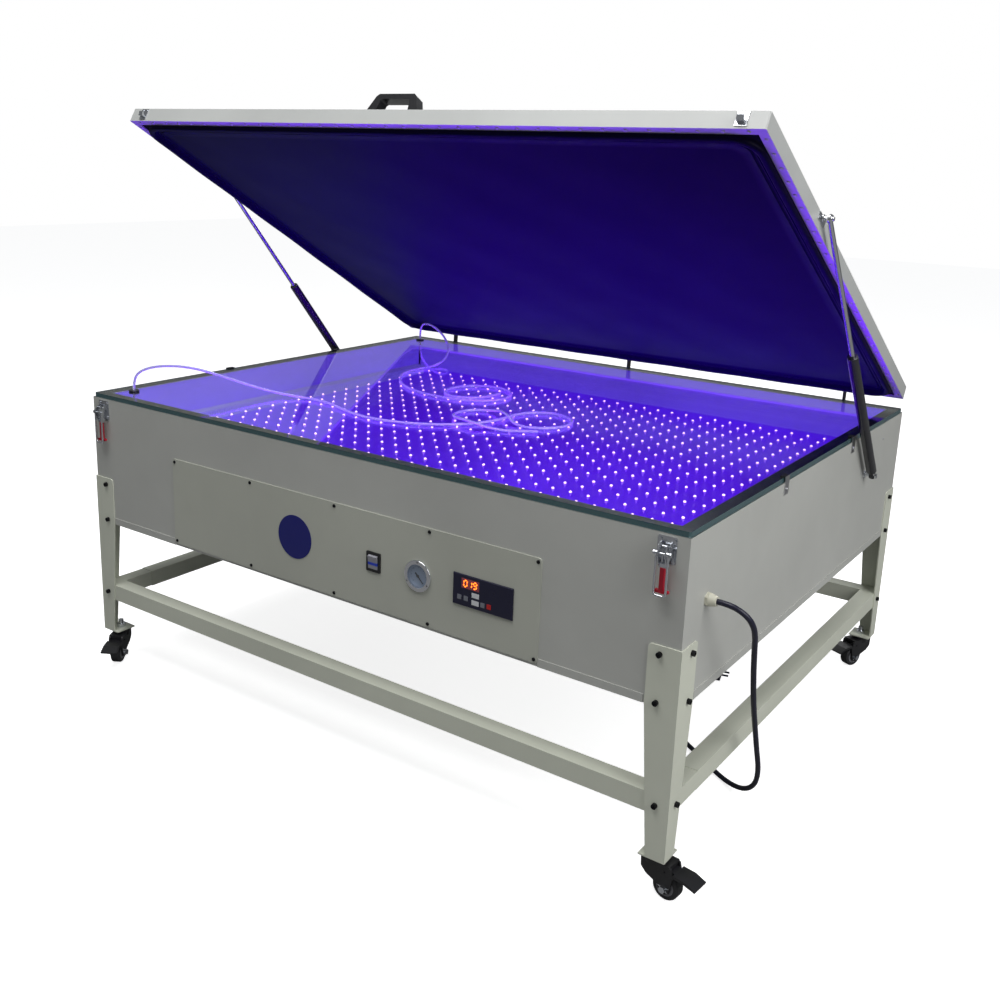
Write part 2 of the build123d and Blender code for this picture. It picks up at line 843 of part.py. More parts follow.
def fasteners():
    solids = [panel_screw(x, z) for x, z in panel_screw_places()]
    for x, y, z, out_x, out_y, passes in bolt_places():
        angle = math.degrees(math.atan2(out_y, out_x))
        solids.append(Pos(x, y, z) * (Rot(0, 0, angle) * bolt(passes)))
    for side_x, side_y in corners.values():
        solids.append(stem(side_x * stem_x, side_y * stem_y))
    save("fasteners", *solids)


def fork_solid():
    """Caster fork in its own frame: swivel axis on Z, trail along +X."""
    top = caster_height - joint_clearance
    plate_bottom = caster_height - fork_plate_drop
    inner = cheek_gap / 2
    outer = inner + cheek_sheet
    cap = rod_z(plate_bottom, top, 0.0, 0.0, 40.0)
    cap = fillet(cap.faces().sort_by(Axis.Z)[-1].edges(), 3.0)
    bridge = block(-6.0, 36.0, -outer, outer, plate_bottom, plate_bottom + 8.0)
    axle_z = wheel_diameter / 2
    profile = [
        (-20.0, plate_bottom + 8.0),
        (-19.0, plate_bottom - 12.0),
        (-8.0, axle_z + 14.0),
        (wheel_trail - 12.0, axle_z + 4.0),
        (wheel_trail - 9.0, axle_z - 7.0),
        (wheel_trail, axle_z - 11.0),
        (wheel_trail + 9.0, axle_z - 7.0),
        (wheel_trail + 12.0, axle_z + 4.0),
        (wheel_trail + 16.0, axle_z + 24.0),
        (wheel_trail + 12.0, plate_bottom + 4.0),
        (wheel_trail + 6.0, plate_bottom + 8.0),
    ]
    near = plate_xz(profile, -outer, -inner)
    far = plate_xz(profile, inner, outer)
    bore = rod_z(plate_bottom - 1.0, top + 1.0, 0.0, 0.0, stem_diameter + 2 * running_clearance)
    pivot_x, pivot_z = brake_pivot()
    pivot_hole = rod_y(-outer - 1.0, outer + 1.0, pivot_x, pivot_z, 4.0 + 2 * running_clearance)
    axle_hole = rod_y(-outer - 1.0, outer + 1.0, wheel_trail, axle_z, axle_diameter)
    body = cap + bridge + near + far - bore - pivot_hole - axle_hole
    axle = rod_y(-outer - 3.0, outer + 3.0, wheel_trail, axle_z, axle_diameter)
    for y in (-outer - 6.0, outer):
        nut = Pos(wheel_trail, y + 6.0, axle_z) * (Rot(90, 0, 0) * extrude(RegularPolygon(6.6, 6), 6.0))
        axle += nut
    return [body, axle]


def brake_pivot():
    return wheel_trail - 1.0, wheel_diameter + 6.0


def brake_solid():
    """Brake pedal with its shoe over the wheel and its pivot pin."""
    pivot_x, pivot_z = brake_pivot()
    inner = cheek_gap / 2 - 1.0
    outer = cheek_gap / 2 + cheek_sheet
    shoe_profile = [
        (pivot_x - 7.0, pivot_z - 3.0),
        (pivot_x + 6.0, pivot_z - 4.0),
        (pivot_x + 20.0, pivot_z - 2.0),
        (pivot_x + 20.0, pivot_z + 3.0),
        (pivot_x + 4.0, pivot_z + 4.5),
        (pivot_x - 5.0, pivot_z + 3.5),
    ]
    shoe = plate_xz(shoe_profile, -inner, inner)
    pedal_profile = [
        (pivot_x + 18.0, pivot_z - 2.0),
        (pivot_x + 40.0, pivot_z - 4.0),
        (pivot_x + 61.0, pivot_z - 10.0),
        (pivot_x + 62.0, pivot_z - 6.5),
        (pivot_x + 42.0, pivot_z + 1.5),
        (pivot_x + 18.0, pivot_z + 3.0),
    ]
    pedal = plate_xz(pedal_profile, -outer - 2.0, outer + 2.0)
    pin = rod_y(-outer - 1.5, outer + 1.5, pivot_x, pivot_z, 4.0)
    return shoe + pedal + pin


def wheel_solids():
    """Tyre and hub on the axle, the hub a little wider than the tyre."""
    half = wheel_width / 2
    axle_z = wheel_diameter / 2
    tyre = rod_y(-half, half, wheel_trail, axle_z, wheel_diameter)
    tyre = fillet(tyre.edges().filter_by(GeomType.CIRCLE), 4.0)
    tyre -= rod_y(-half - 1.0, half + 1.0, wheel_trail, axle_z, hub_diameter)
    hub_half = cheek_gap / 2 - joint_clearance
    hub = rod_y(-half, half, wheel_trail, axle_z, hub_diameter)
    for y in (-half, half - 3.0):
        groove = rod_y(y, y + 3.0, wheel_trail, axle_z, 25.0) - rod_y(y, y + 3.0, wheel_trail, axle_z, 18.0)
        hub -= groove
    hub += rod_y(-hub_half, hub_half, wheel_trail, axle_z, 14.0)
    hub -= rod_y(-hub_half - 1.0, hub_half + 1.0, wheel_trail, axle_z, axle_diameter + 2 * running_clearance)
    return [tyre, hub]


def casters():
    for name, (side_x, side_y) in corners.items():
        place = Pos(side_x * stem_x, side_y * stem_y, 0.0) * Rot(0, 0, caster_headings[name])
        save("caster_fork_" + name, *[place * solid for solid in fork_solid()])
        save("caster_wheel_" + name, *[place * solid for solid in wheel_solids()])
        save("caster_brake_" + name, place * brake_solid())


# ---------------------------------------------------------------- lid

def lid_frame():
    """Folded tray, open below, with a flange that carries the blanket."""
    outer = block(-lid_half_width, lid_half_width, -lid_half_depth, lid_half_depth, lid_bottom, lid_top)
    inner_x = lid_half_width - lid_sheet
    inner_y = lid_half_depth - lid_sheet
    outer = fillet(outer.edges().filter_by(Axis.Z), 3.0)
    shell = outer - block(-inner_x, inner_x, -inner_y, inner_y, lid_bottom - 1.0, lid_top - lid_sheet)
    opening_x = lid_half_width - clamp_width
    opening_y = lid_half_depth - clamp_width
    holes = clamp_screw_holes(blanket_top, blanket_top + lid_sheet)
    flange = block(-inner_x, inner_x, -inner_y, inner_y, blanket_top, blanket_top + lid_sheet)
    flange -= block(-opening_x, opening_x, -opening_y, opening_y, blanket_top - 1.0, blanket_top + 3.0)
    save("lid_frame", opened(shell + (flange - holes)))


def clamp_screw_places():
    """Screw places around the clamp strips, measured on the closed lid."""
    x_edge = lid_half_width - clamp_screw_inset
    y_edge = lid_half_depth - clamp_screw_inset
    across = round(2 * x_edge / clamp_screw_pitch)
    along = round(2 * y_edge / clamp_screw_pitch)
    places = []
    for index in range(across):
        x = -x_edge + 2 * x_edge * (index + 0.5) / across
        places.append((x, -y_edge))
        places.append((x, y_edge))
    for index in range(along):
        y = -y_edge + 2 * y_edge * (index + 0.5) / along
        places.append((-x_edge, y))
        places.append((x_edge, y))
    return places


def clamp_screw_holes(low, high):
    return [rod_z(low - 1.0, high + 1.0, x, y, clamp_screw_diameter) for x, y in clamp_screw_places()]


def clamp_strips():
    edge_x = lid_half_width - lid_sheet
    edge_y = lid_half_depth - lid_sheet
    inner_x = lid_half_width - clamp_width
    inner_y = lid_half_depth - clamp_width
    low = lid_bottom
    high = blanket_bottom
    strips = [
        block(-edge_x, edge_x, -edge_y, -inner_y, low, high),
        block(-edge_x, edge_x, inner_y, edge_y, low, high),
        block(-edge_x, -inner_x, -inner_y, inner_y, low, high),
        block(inner_x, edge_x, -inner_y, inner_y, low, high),
    ]
    holes = clamp_screw_holes(low, high)
    solids = [strip - holes for strip in strips]
    for x, y in clamp_screw_places():
        head = rod_z(low - 2.0, low, x, y, 7.0)
        head = fillet(head.faces().sort_by(Axis.Z)[0].edges(), 1.4)
        solids.append(head + rod_z(low, blanket_top + lid_sheet + 2.0, x, y, clamp_screw_diameter))
    save("clamp_strips", *[opened(solid) for solid in solids])


def blanket():
    """Rubber sheet with a thick rounded bead and two thin ridges."""
    edge_x = lid_half_width - lid_sheet - 0.5
    edge_y = lid_half_depth - lid_sheet - 0.5
    sheet = block(-edge_x, edge_x, -edge_y, edge_y, blanket_bottom, blanket_top)
    bead_low = lid_bottom - bead_height
    bead = extrude(ring_face(clamp_width, bead_width, bead_corner_radius), blanket_bottom - bead_low)
    bead = fillet(bead.faces().sort_by(Axis.Z)[0].edges(), bead_edge_radius)
    body = sheet + Pos(0, 0, bead_low) * bead
    for offset in ridge_offsets:
        radius = bead_corner_radius - (offset - clamp_width)
        ridge = extrude(ring_face(offset, ridge_width, radius), ridge_height)
        body += Pos(0, 0, blanket_bottom - ridge_height) * ridge
    save("blanket", opened(body - clamp_screw_holes(bead_low, blanket_top)))


def lid_handle():
    """Bridge handle on the lid's top, near its front edge."""
    half = handle_width / 2
    neck = handle_bar
    slope = 12.0
    outer = [
        (-half, 0.0),
        (-half, 5.0),
        (-half + slope, handle_height - 5.0),
        (-half + slope + 6.0, handle_height),
        (half - slope - 6.0, handle_height),
        (half - slope, handle_height - 5.0),
        (half, 5.0),
        (half, 0.0),
        (half - handle_foot, 0.0),
        (half - handle_foot + 4.0, 4.0),
        (half - slope - neck - 2.0, handle_height - neck - 3.0),
        (half - slope - neck - 6.0, handle_height - neck),
        (-half + slope + neck + 6.0, handle_height - neck),
        (-half + slope + neck + 2.0, handle_height - neck - 3.0),
        (-half + handle_foot - 4.0, 4.0),
        (-half + handle_foot, 0.0),
    ]
    middle_y = -lid_half_depth + handle_setback
    shape = plate_xz([(x, lid_top + z) for x, z in outer], middle_y - handle_depth / 2, middle_y + handle_depth / 2)
    save("lid_handle", opened(shape))


def hinge_arm(x):
    """Lid arm: base on the lid's rear face and a plate with the hinge eye."""
    face = lid_half_depth
    base = block(x + hinge_plate / 2 + joint_clearance, x + 36.0, face, face + 3.0, lid_bottom + 2.0, lid_top - 1.0)
    points = [
        (face + 3.0, lid_bottom + 6.0),
        (hinge_y - hinge_eye_radius, hinge_z - 22.0),
        (hinge_y + hinge_eye_radius, hinge_z),
        (hinge_y, hinge_z + hinge_eye_radius),
        (hinge_y - hinge_eye_radius, hinge_z + 2.0),
        (face + 3.0, lid_top - 1.0),
    ]
    left = x + hinge_plate / 2 + joint_clearance
    arm = plate_yz(points, left, left + hinge_plate)
    eye = rod_x(left, left + hinge_plate, hinge_y, hinge_z, 2 * hinge_eye_radius)
    bore = rod_x(left - 1.0, left + hinge_plate + 1.0, hinge_y, hinge_z, hinge_pin_diameter + running_clearance)
    return base + arm + eye - bore


def catch(x):
    """Hook on the lid's front face that a latch's bail catches."""
    face = -lid_half_depth
    plate = block(x - 10.0, x + 10.0, face - 1.6, face, lid_bottom + 4.0, lid_top - 2.0)
    hook_low = lid_bottom + 9.0
    hook = plate_yz(
        [
            (face - 1.6, hook_low),
            (face - 9.0, hook_low),
            (face - 11.5, hook_low + 9.0),
            (face - 9.0, hook_low + 10.0),
            (face - 6.5, hook_low + 4.0),
            (face - 1.6, hook_low + 4.0),
        ],
        x - 6.0,
        x + 6.0,
    )
    rivets = []
    for dx in (-6.5, 6.5):
        rivets.append(rod_y(face - 2.8, face - 1.6, x + dx, lid_top - 6.5, 4.5))
    return plate + hook + rivets


def strut_lid_plate():
    """Reinforcing plate on the lid's right side behind the upper strut stud."""
    y, z = closed_point(strut_high_y, strut_high_z)
    return block(lid_half_width, lid_half_width + 1.5, y - 20.0, y + 20.0, z - 10.0, z + 5.0)


def lid_brackets():
    solids = [hinge_arm(x) for x in hinge_columns]
    solids.append(catch(latch_x))
    solids.append(catch(-latch_x))
    solids.append(strut_lid_plate())
    solids.append(mirrored(strut_lid_plate()))
    save("lid_brackets", *[opened(solid) for solid in solids])


def hinge_brackets():
    """Posts on the rear wall with their pins."""
    solids = []
    for x in hinge_columns:
        left = x - hinge_plate / 2
        right = x + hinge_plate / 2
        foot = block(x - 18.0, x + 18.0, half_depth, half_depth + 3.0, box_top - 70.0, box_top - 4.0)
        points = [
            (half_depth + 3.0, box_top - 66.0),
            (half_depth + 12.0, box_top - 66.0),
            (hinge_y + hinge_eye_radius, hinge_z - 12.0),
            (hinge_y + hinge_eye_radius, hinge_z),
            (hinge_y, hinge_z + hinge_eye_radius),
            (hinge_y - hinge_eye_radius, hinge_z),
            (half_depth + 3.0, box_top + 2.0),
        ]
        post = plate_yz(points, left, right)
        post += rod_x(left, right, hinge_y, hinge_z, 2 * hinge_eye_radius)
        pin = rod_x(left, right + joint_clearance + hinge_plate + 3.0, hinge_y, hinge_z, hinge_pin_diameter)
        pin_head = rod_x(left - 3.0, left, hinge_y, hinge_z, 13.0)
        cap_left = right + 2 * joint_clearance + hinge_plate
        cap = rod_x(cap_left, cap_left + 3.0, hinge_y, hinge_z, 13.0)
        solids.append(foot + post + pin + pin_head + cap)
    save("hinge_brackets", *solids)


# ---------------------------------------------------------------- gas struts

def strut_geometry():
    """Lengths and angles of a strut with the lid open and closed."""
    closed_y, closed_z = closed_point(strut_high_y, strut_high_z)
    open_length = math.hypot(strut_high_y - strut_low_y, strut_high_z - strut_low_z)
    closed_length = math.hypot(closed_y - strut_low_y, closed_z - strut_low_z)
    open_angle = math.atan2(strut_high_z - strut_low_z, strut_low_y - strut_high_y)
    closed_angle = math.atan2(closed_z - strut_low_z, strut_low_y - closed_y)
    return open_length, closed_length, math.degrees(open_angle), math.degrees(closed_angle)


def strut_place():
    """Frame at the lower eye whose +X runs up the strut."""
    open_angle = strut_geometry()[2]
    plane = Plane(
        origin=(strut_x, strut_low_y, strut_low_z),
        x_dir=(0, -math.cos(math.radians(open_angle)), math.sin(math.radians(open_angle))),
        z_dir=(1, 0, 0),
    )
    return plane.location


def strut_eye(at, bore):
    ball = Pos(at, 0, 0) * Sphere(strut_eye_diameter / 2)
    trimmed = ball & (Pos(at, 0, 0) * Box(30.0, 30.0, 12.0))
    return trimmed - Pos(at, 0, 0) * Cylinder(bore / 2, 30.0)


def strut_cylinder():
    """Cylinder with a bored head; +X is the strut's axis before it is placed."""
    tube = rod_x(16.0, strut_body_length, 0.0, 0.0, strut_body_diameter)
    tube = fillet(tube.edges().filter_by(GeomType.CIRCLE), 2.5)
    neck = rod_x(6.0, 16.5, 0.0, 0.0, 9.0)
    chamber = rod_x(26.0, strut_body_length - 14.0, 0.0, 0.0, strut_chamber_diameter)
    guide = rod_x(strut_body_length - 15.0, strut_body_length + 1.0, 0.0, 0.0, strut_rod_diameter + running_clearance)
    bore = strut_stud_diameter + running_clearance
    eye = strut_eye(0.0, bore)
    stud_way = Cylinder(bore / 2, 30.0)
    return strut_place() * ((tube + neck - stud_way) + eye - chamber - guide)


def strut_rod():
    """Rod with its piston, upper eye and upper stud."""
    length = strut_geometry()[0]
    rod = rod_x(strut_body_length - 30.0, length - 6.0, 0.0, 0.0, strut_rod_diameter)
    piston = rod_x(strut_body_length - 38.0, strut_body_length - 28.0, 0.0, 0.0, strut_chamber_diameter - 2 * running_clearance)
    eye = Pos(length, 0, 0) * Sphere(strut_eye_diameter / 2) & (Pos(length, 0, 0) * Box(30.0, 30.0, 12.0))
    stud_root = -(strut_x - lid_half_width - 1.5 - joint_clearance)
    stud_tip = 8.5
    stud = Pos(length, 0, (stud_root + stud_tip) / 2) * Cylinder(strut_stud_diameter / 2, stud_tip - stud_root)
    collar = Pos(length, 0, stud_root + 1.25) * Cylinder(7.0, 2.5)
    return strut_place() * (rod + piston + eye + stud + collar)


def strut_stud():
    """Lower ball stud: base on the wall, shank through the eye, cap outside."""
    base = rod_x(half_width, half_width + 3.0, strut_low_y, strut_low_z, 16.0)
    shank = rod_x(half_width, strut_x + 9.0, strut_low_y, strut_low_z, strut_stud_diameter)
    cap = rod_x(strut_x + 6.0 + joint_clearance, strut_x + 9.5, strut_low_y, strut_low_z, 11.5)
    return base + shank + cap


def struts():
    save("strut_cylinder_right", strut_cylinder())
    save("strut_cylinder_left", mirrored(strut_cylinder()))
    save("strut_rod_right", strut_rod())
    save("strut_rod_left", mirrored(strut_rod()))
    save("strut_studs", strut_stud(), mirrored(strut_stud()))


# ---------------------------------------------------------------- latches

def latch_places():
    pivot_y = -half_depth - latch_pivot_out
    pivot_z = box_top - latch_pivot_drop
    bail_y = -half_depth - bail_pivot_out
    bail_z = box_top - bail_pivot_drop
    return pivot_y, pivot_z, bail_y, bail_z


def latch_base(x):
    """Base plate with two ears and the lever's pin."""
    pivot_y, pivot_z, _, _ = latch_places()
    face = -half_depth
    half = latch_plate_width / 2
    top = box_top - 4.0
    plate = block(x - half, x + half, face - latch_plate_sheet, face, top - latch_plate_height, top)
    plate = fillet(plate.edges().filter_by(Axis.Y), 3.0)
    ears = []
    for side in (-1, 1):
        inner = side * 8.0
        outer = side * 9.6
        points = [
            (face - latch_plate_sheet, pivot_z - 7.0),
            (pivot_y - 3.5, pivot_z - 3.5),
            (pivot_y - 3.5, pivot_z + 3.5),
            (face - latch_plate_sheet, pivot_z + 7.0),
        ]
        ears.append(plate_yz(points, x + min(inner, outer), x + max(inner, outer)))
    pin = rod_x(x - 11.0, x + 11.0, pivot_y, pivot_z, 4.0)
    screws = []
    for dx in (-12.5, 12.5):
        for dz in (-6.0, -38.0):
            screw = rod_y(face - latch_plate_sheet - 2.0, face - latch_plate_sheet, x + dx, top + dz, 6.5)
            screws.append(screw)
    return plate + ears + pin + screws


def latch_lever(x):
    """Lever cheeks, grip core, bail bar and red grip with its foot."""
    pivot_y, pivot_z, bail_y, bail_z = latch_places()
    grip_top = pivot_z + 4.0 - lever_length + grip_length
    cheeks = []
    for side in (-1, 1):
        inner = side * 5.8
        outer = side * 7.2
        points = [
            (pivot_y + 4.0, pivot_z + 4.0),
            (pivot_y - 4.0, pivot_z + 5.0),
            (bail_y - 4.0, bail_z + 3.0),
            (bail_y - 4.0, bail_z - 4.0),
            (pivot_y - 4.0, grip_top),
            (pivot_y + 3.0, grip_top),
            (pivot_y + 4.0, pivot_z - 8.0),
        ]
        cheeks.append(plate_yz(points, x + min(inner, outer), x + max(inner, outer)))
    web = block(x - 6.5, x + 6.5, pivot_y - 3.5, pivot_y + 2.0, grip_top - 2.0, grip_top + 5.0)
    bar = rod_x(x - 16.0, x + 16.0, bail_y, bail_z, 4.0)
    for left in (x - 15.5, x + 13.5):
        nut = Rot(0, 90, 0) * extrude(RegularPolygon(3.6, 6), 2.0)
        bar += Pos(left, bail_y, bail_z) * nut
    pivot_hole = rod_x(x - 20.0, x + 20.0, pivot_y, pivot_z, 4.0 + 2 * running_clearance)
    body = web + cheeks + bar - pivot_hole
    grip_bottom = grip_top - grip_length
    grip = block(
        x - grip_width / 2,
        x + grip_width / 2,
        pivot_y - 4.5,
        pivot_y + 3.5,
        grip_bottom,
        grip_top - 2.0,
    )
    grip = fillet(grip.edges().filter_by(Axis.Z), 2.0)
    foot = block(
        x - grip_foot_width / 2,
        x + grip_foot_width / 2,
        pivot_y - 4.0,
        pivot_y + 3.0,
        grip_bottom,
        grip_bottom + 5.0,
    )
    foot = fillet(foot.edges().filter_by(Axis.Y), 2.0)
    return [body, grip + foot]


def latch_bail(x):
    """U-bolt with an eye and nut at each end, hanging from the lever's bar."""
    _, _, bail_y, bail_z = latch_places()
    half = bail_width / 2
    corner = 5.0
    bottom = bail_z - bail_length + bail_wire / 2
    path = FilletPolyline(
        (x - half, bail_y, bail_z),
        (x - half, bail_y, bottom),
        (x + half, bail_y, bottom),
        (x + half, bail_y, bail_z),
        radius=corner,
    )
    wire = sweep(Plane(origin=(x - half, bail_y, bail_z), z_dir=(0, 0, -1)) * Circle(bail_wire / 2), path=path)
    eyes = []
    holes = []
    for side in (-1, 1):
        middle = x + side * half
        eyes.append(rod_x(middle - 2.6, middle + 2.6, bail_y, bail_z, 9.0))
        holes.append(rod_x(middle - 4.0, middle + 4.0, bail_y, bail_z, 4.0 + 2 * running_clearance))
    return wire + eyes - holes


def latches():
    """Both latches; the lever's bar runs in the bail's eyes."""
    for name, x in (("left", -latch_x), ("right", latch_x)):
        save("latch_lever_" + name, *latch_lever(x))
        save("latch_bail_" + name, latch_bail(x))
    save("latch_bases", latch_base(-latch_x), latch_base(latch_x))


# ---------------------------------------------------------------- hoses and cord

def tube_path(points, name):
    """Straight runs joined by tangent arcs, each as large as its two runs allow."""
    vectors = [Vector(*point) for point in points]
    radii = []
    for before, here, after in zip(vectors, vectors[1:], vectors[2:]):
        turn = (here - before).get_angle(after - here)
        shorter = min((here - before).length, (after - here).length)
        radii.append(0.45 * shorter / math.tan(math.radians(turn) / 2))
    print(name, "radii", [round(radius, 1) for radius in radii])
    return FilletPolyline(*vectors, radius=radii)


def tube(points, diameter, bore, name):
    path = tube_path(points, name)
    start = Plane(origin=path @ 0, z_dir=path % 0)
    section = Circle(diameter / 2)
    if bore:
        section -= Circle(bore / 2)
    solid = sweep(start * section, path=path)
    expected = path.length * section.area
    print(name, "length", round(path.length, 1), "volume ratio", round(solid.volume / expected, 5))
    return solid


def hose_front_points():
    """From the front grommet in an arch onto the glass, then a figure of eight."""
    z = hose_z
    over = hose_z + 9.5
    start = glass_top + grommet_rise
    return [
        (grommet_x, grommet_front_y, start),
        (grommet_x, grommet_front_y, start + 28.0),
        (-674, -519, start + 49.0),
        (-637, -495, start + 60.0),
        (-585, -461, start + 60.0),
        (-530, -425, start + 46.0),
        (-475, -389, start + 26.0),
        (-420, -350, start + 8.0),
        (-355, -320, z),
        (-290, -314, z),
        (-215, -343, z),
        (-140, -368, z),
        (-70, -366, z),
        (-5, -344, z),
        (54, -302, z),
        (92, -246, z),
        (108, -185, z),
        (103, -125, z),
        (125, -68, z),
        (178, -50, z),
        (235, -84, z),
        (250, -145, z),
        (218, -196, z),
        (166, -211, z),
        (124, -180, over),
        (84, -146, over),
        (38, -129, z),
        (-1, -158, z),
        (0, -212, z),
        (38, -264, over),
        (92, -276, over),
        (146, -269, z),
        (192, -250, z),
        (226, -220, z),
    ]


def hose_rear_points():
    """From the rear grommet in an arch onto the glass, then a loop and a half."""
    z = hose_z
    start = glass_top + grommet_rise
    return [
        (grommet_x, grommet_rear_y, start),
        (grommet_x, grommet_rear_y, start + 26.0),
        (-674, 530, start + 46.0),
        (-634, 499, start + 58.0),
        (-578, 456, start + 63.0),
        (-516, 408, start + 60.0),
        (-458, 364, start + 48.0),
        (-412, 320, start + 29.0),
        (-384, 267, start + 10.0),
        (-377, 205, z),
        (-386, 140, z),
        (-376, 74, z),
        (-340, 16, z),
        (-292, -36, z),
        (-234, -73, z),
        (-170, -90, z),
        (-104, -88, z),
        (-42, -72, z),
        (-4, -28, z),
        (-8, 28, z),
        (-40, 78, z),
        (-92, 99, z),
        (-144, 77, z),
        (-172, 26, z),
        (-164, -32, z),
        (-124, -68, z),
        (-74, -58, z),
        (-44, -14, z),
        (-48, 38, z),
    ]


def hoses():
    save("hose_front", tube(hose_front_points(), hose_diameter, hose_bore, "hose_front"))
    save("hose_rear", tube(hose_rear_points(), hose_diameter, hose_bore, "hose_rear"))


def grommets():
    """Rubber grommets in the glass and the hose stubs down to the pump's pipe."""
    solids = []
    pipe_top = pump_pipe_z() + 10.0
    for y in (grommet_front_y, grommet_rear_y):
        cap = rod_z(glass_top, glass_top + grommet_rise, grommet_x, y, grommet_diameter)
        cap = fillet(cap.faces().sort_by(Axis.Z)[-1].edges(), 1.5)
        neck = rod_z(box_top - 3.0, glass_top, grommet_x, y, glass_hole_diameter)
        washer = rod_z(box_top - 3.0, box_top, grommet_x, y, grommet_diameter)
        bore = rod_z(box_top - 4.0, glass_top + grommet_rise + 1.0, grommet_x, y, hose_bore)
        solids.append(cap + neck + washer - bore)
        stub = rod_z(pipe_top, box_top - 3.0, grommet_x, y, hose_diameter)
        solids.append(stub - rod_z(pipe_top - 1.0, box_top, grommet_x, y, hose_bore))
    save("glass_grommets", *solids)


def gland_thread_diameter():
    return gland_diameter - 5.0


def cord_gland():
    """Nylon gland: thread and nut inside the wall, hexagon and tapered cap outside."""
    thread = rod_x(half_width - 16.0, half_width, gland_y, gland_z, gland_thread_diameter())
    lock_nut = Pos(half_width - wall_sheet - 5.0, gland_y, gland_z) * (
        Rot(0, 90, 0) * extrude(RegularPolygon(gland_diameter / 2 + 1.0, 6), 5.0)
    )
    hexagon = Pos(half_width, gland_y, gland_z) * (
        Rot(0, 90, 0) * extrude(RegularPolygon(gland_diameter / 2 + 1.0, 6), 5.0)
    )
    cap_length = gland_length - 5.0
    cap = Pos(half_width + 5.0 + cap_length / 2, gland_y, gland_z) * (
        Rot(0, 90, 0) * Cone(gland_diameter / 2, cord_diameter / 2 + 3.5, cap_length)
    )
    bore = rod_x(half_width - 17.0, half_width + 2.0, gland_y, gland_z, cord_diameter)
    save("cord_gland", thread + lock_nut + hexagon + cap - bore)


def power_cord_points():
    """Out of the gland, down beside the cabinet, along the floor to the coil."""
    entry = coil_point(0.0)
    way = coil_way_in()
    approach = entry - way * 80.0
    lead = entry - way * cord_diameter
    return [
        (gland_tip_x, gland_y, gland_z),
        (gland_tip_x + 20.0, gland_y, gland_z),
        (gland_tip_x + 39.0, gland_y + 4.0, gland_z - 7.0),
        (gland_tip_x + 52.5, gland_y + 12.0, gland_z - 20.0),
        (gland_tip_x + 58.0, gland_y + 23.0, gland_z - 38.5),
        (gland_tip_x + 56.0, gland_y + 38.0, gland_z - 62.0),
        (gland_tip_x + 50.0, gland_y + 58.0, gland_z - 96.0),
        (809, -424, 376),
        (800, -383, 302),
        (793, -340, 232),
        (787, -300, 166),
        (782, -263, 106),
        (768, -232, 54),
        (738, -206, 19),
        (694, -180, cord_z),
        (640, -146, cord_z),
        (586, -106, cord_z),
        (530, -68, cord_z),
        (474, -25, cord_z),
        (414, 28, cord_z),
        (approach.X, approach.Y, cord_z),
        (lead.X, lead.Y, cord_z),
    ]


def coil_point(turn):
    """Place on the coil after so many turns: inwards, half a turn up, outwards again."""
    half_turn = 0.5
    outer = coil_mean_radius + coil_pitch * coil_turns / 2
    reversal = coil_turns + half_turn / 2
    radius = outer - coil_pitch * (reversal - abs(turn - reversal))
    part = min(max((turn - coil_turns) / half_turn, 0.0), 1.0)
    z = cord_z + coil_pitch * part * part * (3 - 2 * part)
    angle = math.radians(coil_entry_angle) - 2 * math.pi * turn
    return Vector(coil_x + radius * math.cos(angle), coil_y + radius * math.sin(angle), z)


def coil_tangent(turn):
    step = 0.0005
    after = coil_point(turn + step)
    before = coil_point(turn - step)
    return (after - before).normalized()


def biarc(start, start_way, end, end_way):
    """Two arcs that leave start and reach end along the given directions."""
    gap = end - start
    spread = 2 * (1 - start_way.dot(end_way))
    lean = gap.dot(start_way + end_way)
    reach = (math.sqrt(lean * lean + spread * gap.dot(gap)) - lean) / spread
    first_corner = start + start_way * reach
    second_corner = end - end_way * reach
    middle = (first_corner + second_corner) * 0.5
    middle_way = second_corner - first_corner
    return [TangentArc(start, middle, tangent=start_way), TangentArc(middle, end, tangent=middle_way)]


def coil_length_in_turns():
    return 2 * coil_turns + 0.5


def coil_way_in():
    """Level direction in which the cord meets the coil."""
    way = coil_tangent(0.0)
    return Vector(way.X, way.Y, 0).normalized()


def coil_way_out():
    way = coil_tangent(coil_length_in_turns())
    return Vector(way.X, way.Y, 0).normalized()


def coil_path():
    """A straight end, quarter turns of two arcs each, a curve away from the turns, a straight end."""
    steps = int(coil_length_in_turns() * 4)
    places = [coil_length_in_turns() * index / steps for index in range(steps + 1)]
    ways = [coil_tangent(place) for place in places]
    ways[0] = coil_way_in()
    ways[-1] = coil_way_out()
    entry = coil_point(0.0)
    edges = [Line(entry - ways[0] * cord_diameter, entry)]
    for index in range(steps):
        edges.extend(biarc(coil_point(places[index]), ways[index], coil_point(places[index + 1]), ways[index + 1]))
    last = coil_point(places[-1])
    edges.append(TangentArc(last, coil_tail_start(), tangent=ways[-1]))
    edges.append(Line(coil_tail_start(), coil_end()))
    return edges


def coil_tail_way():
    """The way out, turned away from the coil's middle."""
    way = coil_way_out()
    turn = math.radians(coil_tail_turn)
    x = way.X * math.cos(turn) - way.Y * math.sin(turn)
    y = way.X * math.sin(turn) + way.Y * math.cos(turn)
    return Vector(x, y, 0)


def coil_tail_start():
    way = coil_way_out()
    left = Vector(-way.Y, way.X, 0)
    turn = math.radians(coil_tail_turn)
    last = coil_point(coil_length_in_turns())
    return last + way * (coil_tail_radius * math.sin(turn)) + left * (coil_tail_radius * (1 - math.cos(turn)))


def coil_end():
    return coil_tail_start() + coil_tail_way() * cord_diameter


